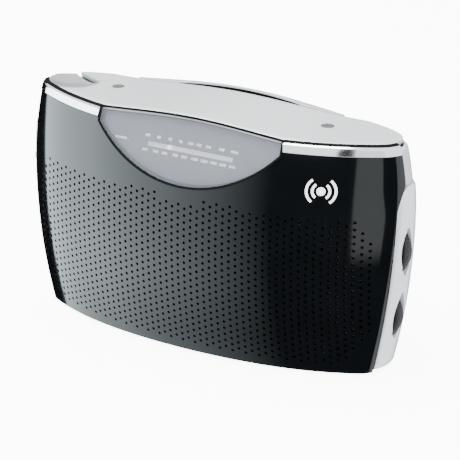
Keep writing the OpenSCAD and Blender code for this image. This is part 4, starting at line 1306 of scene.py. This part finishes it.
def area(name, place, target, size, power, glossy=True):
    """Rectangular soft light that faces a target."""
    light = bpy.data.lights.new(name, "AREA")
    light.shape = "RECTANGLE"
    light.size, light.size_y = size
    light.energy = power
    lamp_object = bpy.data.objects.new(name, light)
    bpy.context.scene.collection.objects.link(lamp_object)
    lamp_object.location = place
    aim = Vector(target) - Vector(place)
    lamp_object.rotation_euler = aim.to_track_quat("-Z", "Y").to_euler()
    lamp_object.visible_glossy = glossy
    lamp_object.visible_camera = False
    return lamp_object


def build_floor():
    """Wide sheet just below the feet, seen by the camera only."""
    far, level = 5000, -0.3
    corners = np.array([(-far, -far, level), (far, -far, level), (far, far, level), (-far, far, level)])
    floor = make_mesh("floor", corners, np.array([(0, 1, 2, 3)]))
    floor.data.materials.append(finish_of("floor_pale"))
    floor.visible_glossy = False
    floor.visible_diffuse = False


def build_cards(strength):
    """Cards for the gloss to reflect: one that brightens to the left, a strip, and dark ones between."""
    def from_left(x, y, z):
        bearing = (x * -1).math("ARCTAN2", y * -1) * (180 / math.pi)
        share = ((bearing - 4) / 54).math("MAXIMUM", 0.0).math("MINIMUM", 1.0)
        height = z.between(-1.35, -0.6) * 0.5 + 0.5
        return share ** 1.15 * height * strength

    def strip(*place):
        return place[2].between(-0.55, -0.38) * 1.5

    def unlit(*place):
        return place[2].between(0.0, 0.5) * 0.03 + 0.002

    card("card_left", 4, 91, -2.4, 0.9, glow("glow_left", rgb(0.84, 0.96, 1.0), from_left))
    card("card_right", -49, -29, -2.4, 1.2, glow("glow_right", rgb(0.95, 1.0, 0.97), strip))
    card("dark_front", -80, 6, -3.4, 0.2, glow("glow_dark", grey(1.0), unlit), 1.7)
    card("dark_left", 89, 200, -3.4, 0.8, glow("glow_edge", grey(1.0), unlit), 1.7)
    card("dark_strip", -28, -20, -0.4, 2.6, glow("glow_strip", grey(1.0), unlit), 1.5)


def build_room(tone):
    """Even light from all round."""
    world = bpy.data.worlds.new("room")
    world.use_nodes = True
    back = world.node_tree.nodes["Background"]
    back.inputs["Color"].default_value = (*tone, 1.0)
    back.inputs["Strength"].default_value = ROOM_STRENGTH
    bpy.context.scene.world = world


def build_camera():
    """Camera on a long lens, set by its bearing from the front, its rise, its roll and its aim."""
    lens = bpy.data.cameras.new("camera")
    lens.lens = CAMERA_LENS
    lens.sensor_width = 36
    lens.clip_start, lens.clip_end = 0.05, 20
    camera = bpy.data.objects.new("camera", lens)
    bpy.context.scene.collection.objects.link(camera)
    turn = Matrix.Rotation(math.radians(CAMERA_BEARING), 3, "Z") @ \
        Matrix.Rotation(math.radians(90 - CAMERA_RISE), 3, "X") @ \
        Matrix.Rotation(math.radians(CAMERA_ROLL), 3, "Z")
    place = Vector(CAMERA_AIM) + turn @ Vector((0, 0, CAMERA_DISTANCE))
    camera.matrix_world = Matrix.Translation(place) @ turn.to_4x4()
    bpy.context.scene.camera = camera


def build_stage(sizes):
    """Floor, cards, two lights, room and camera."""
    build_floor()
    build_cards(sizes.card_glow)
    area("key", (-0.5, -0.3, 1.9), (0, 0, 0.1), (1.6, 1.2), sizes.key_power)
    area("fill", (0.9, -1.6, 1.2), (0, 0, 0.06), (0.8, 0.8), FILL_POWER, glossy=False)
    build_room(sizes.sky_tone)
    build_camera()


# ---- Settings and operators -------------------------------------------------------------------------
class RadioSettings(bpy.types.PropertyGroup):
    """Sizes and finishes a user may change before building."""
    hole_radius: FloatProperty(name="Grille hole radius", description="Radius of one hole in the face",
                               default=0.00095, min=0.0003, max=0.0016, unit="LENGTH")
    face_wall: FloatProperty(name="Face thickness", description="Thickness of the black face",
                             default=0.0022, min=0.001, max=0.0024, unit="LENGTH")
    emblem_size: FloatProperty(name="Emblem size", description="Reach of the printed arcs from their dot",
                               default=0.0095, min=0.003, max=0.012, unit="LENGTH")
    key_power: FloatProperty(name="Key light", description="Power of the overhead soft light",
                             default=KEY_POWER, min=0.0, soft_max=150.0, unit="POWER")
    card_glow: FloatProperty(name="Left card glow", description="Emission of the large left card",
                             default=CARD_GLOW, min=0.0, soft_max=12.0)
    sky_tone: FloatVectorProperty(name="Room tone", description="Colour of the unlit room",
                                  default=(0.9, 0.95, 1.0), subtype="COLOR", min=0.0, max=1.0)


def settings():
    """The settings that the scene holds."""
    return bpy.context.scene.radio_settings


class BuildFront(bpy.types.Operator):
    """Build the perforated face, the plated bands and the printed emblem"""
    bl_idname = "radio.build_front"
    bl_label = "Front"

    def execute(self, context):
        sizes = settings()
        face = perforated_front(sizes.hole_radius / MM, sizes.face_wall / MM)
        shown(face, "gloss_black_front", replaces=["front_panel"], smooth=40)
        for side, node in ((1, "chrome_band_right"), (-1, "chrome_band_left")):
            shown(band_piece(side), "chrome_trim", replaces=[node], smooth=50)
        shown(rim_seam(), "gasket_black")
        shown(wave_emblem(*EMBLEM, sizes.emblem_size / MM), "emblem_ink")
        return {"FINISHED"}


class BuildDial(bpy.types.Operator):
    """Build the dial window, its scale, prints, pointer and lamp"""
    bl_idname = "radio.build_dial"
    bl_label = "Dial"

    def execute(self, context):
        lens = bevelled(solid_grid("dial_lens", window_grid(0.75, 0.0), window_grid(0.75, 1.8)), 0.3, 2, 50)
        shown(lens, "smoked_window", replaces=["dial_lens"])
        shown(gasket(), "gasket_black")
        shown(refined("dial_scale", 0.15), "scale_grey", replaces=["dial_scale"])
        prints = [lettering(words, x, FM_Z, 2.6) for words, x in DIAL_FM]
        prints += [lettering(words, x, AM_Z, 2.5) for words, x in DIAL_AM]
        prints.append(lettering("POWER", *POWER_AT, 2.3))
        shown(joined("dial_print", prints), "scale_ink")
        shown(refined("pointer_rail", 0.1), "rail_silver", replaces=["pointer_rail"])
        shown(refined("dial_pointer", 0.2), "pointer_white", "dial_pointer", ["dial_pointer"])
        shown(refined("power_led", 0.3), "power_lamp", replaces=["power_led"])
        return {"FINISHED"}


class BuildTop(bpy.types.Operator):
    """Build the top plate with its scoop, the recess lid, the plugs and the grip"""
    bl_idname = "radio.build_top"
    bl_label = "Top"

    def execute(self, context):
        shown(top_plate(), "satin_silver", replaces=["top_plate"], smooth=30)
        shown(recess_tray(), "satin_silver", replaces=["aerial_recess_tray"], smooth=30)
        plugs = joined("handle_screw_plugs", [screw_plug(-PLUG_X), screw_plug(PLUG_X)])
        shown(plugs, "plug_grey", replaces=["handle_screw_plugs"])
        # A black skin on the grip's face: painted shade for the shadow in the slit.
        shown(slit_shade_liner(), "gasket_black")
        shown(grip_bar(), "grip_grey", replaces=["handle_grip_bar"], smooth=40)
        return {"FINISHED"}


class BuildSides(bpy.types.Operator):
    """Build the side trims and the two knurled thumbwheels"""
    bl_idname = "radio.build_sides"
    bl_label = "Sides"

    def execute(self, context):
        shown(right_trim(), "side_trim_silver", replaces=["side_trim_right"])
        shown(left_trim(), "side_trim_silver", replaces=["side_trim_left"])
        shown(thumbwheel("tuning_wheel", TUNING_X, TUNING_Z), "wheel_black", "tuning_wheel", ["tuning_wheel"],
              30)
        volume = joined("volume_wheel", [
            thumbwheel("rim", VOLUME_X, VOLUME_Z),
            turned("spindle", [(0, -0.6), (3, -0.6), (3.04, 6.4), (3, 11.2), (2.8, 11.4), (0, 11.4)],
                   (VOLUME_X, 0.5, VOLUME_Z), "Y", 48)])
        shown(volume, "wheel_black", "volume_wheel", ["volume_wheel"], 30)
        return {"FINISHED"}


class BuildBack(bpy.types.Operator):
    """Build the rear cover, the battery door and the finger hollow"""
    bl_idname = "radio.build_back"
    bl_label = "Back"

    def execute(self, context):
        shown(rear_cover(), "cover_silver", replaces=["rear_cover"])
        shown(battery_door(), "cover_silver", "battery_door", ["battery_door"])
        shown(hand_well(), "dark_moulding", replaces=["hand_well"])
        return {"FINISHED"}


class BuildAerial(bpy.types.Operator):
    """Build the telescopic aerial's bracket, tubes and tip"""
    bl_idname = "radio.build_aerial"
    bl_label = "Aerial"

    def execute(self, context):
        shown(aerial_bracket(), "dark_moulding", replaces=["aerial_bracket"])
        shown(first_tube(), "aerial_chrome", "aerial_tube_1", ["aerial_tube_1"], 40)
        for n in (1, 2, 3):
            name = f"aerial_tube_{n + 1}"
            tube = aerial_section(name, TUBE_R - TUBE_STEP * n, AERIAL_X + 7.2 + 1.5 * n,
                                  AERIAL_END + 0.8 * n, hollow=n < 3)
            shown(tube, "aerial_chrome", name, [name], 40)
        shown(aerial_tip(), "aerial_chrome", "aerial_tube_4", ["aerial_tip"], 40)
        return {"FINISHED"}


class BuildRest(bpy.types.Operator):
    """Round the edges of every other CAD piece and give it its finish"""
    bl_idname = "radio.build_rest"
    bl_label = "Inside and fittings"

    def execute(self, context):
        for node, (finish, width, body) in PLAIN_PIECES.items():
            shown(refined(node, width), finish, body, [node])
        return {"FINISHED"}


class BuildStage(bpy.types.Operator):
    """Build the floor, the cards, the lights and the camera"""
    bl_idname = "radio.build_stage"
    bl_label = "Stage"

    def execute(self, context):
        build_stage(settings())
        return {"FINISHED"}


class RadioPanel(bpy.types.Panel):
    """Sidebar panel with the settings and one button per group of pieces"""
    bl_idname = "VIEW3D_PT_radio"
    bl_label = "Portable radio"
    bl_space_type = "VIEW_3D"
    bl_region_type = "UI"
    bl_category = "Radio"

    def draw(self, context):
        sizes = settings()
        for key in ("hole_radius", "face_wall", "emblem_size", "key_power", "card_glow", "sky_tone"):
            self.layout.prop(sizes, key)
        for operator in OPERATORS:
            self.layout.operator(operator.bl_idname)


OPERATORS = (BuildFront, BuildDial, BuildTop, BuildSides, BuildBack, BuildAerial, BuildRest, BuildStage)
CLASSES = (RadioSettings, RadioPanel) + OPERATORS


def register():
    """Registers the settings, the operators and the panel."""
    for one in CLASSES:
        bpy.utils.register_class(one)
    bpy.types.Scene.radio_settings = PointerProperty(type=RadioSettings)


def unregister():
    """Takes the settings, the operators and the panel away again."""
    del bpy.types.Scene.radio_settings
    for one in reversed(CLASSES):
        bpy.utils.unregister_class(one)


def main():
    """Builds every group of pieces and the stage."""
    register()
    bpy.ops.radio.build_front()
    bpy.ops.radio.build_dial()
    bpy.ops.radio.build_top()
    bpy.ops.radio.build_sides()
    bpy.ops.radio.build_back()
    bpy.ops.radio.build_aerial()
    bpy.ops.radio.build_rest()
    bpy.ops.radio.build_stage()


if __name__ == "__main__":
    main()
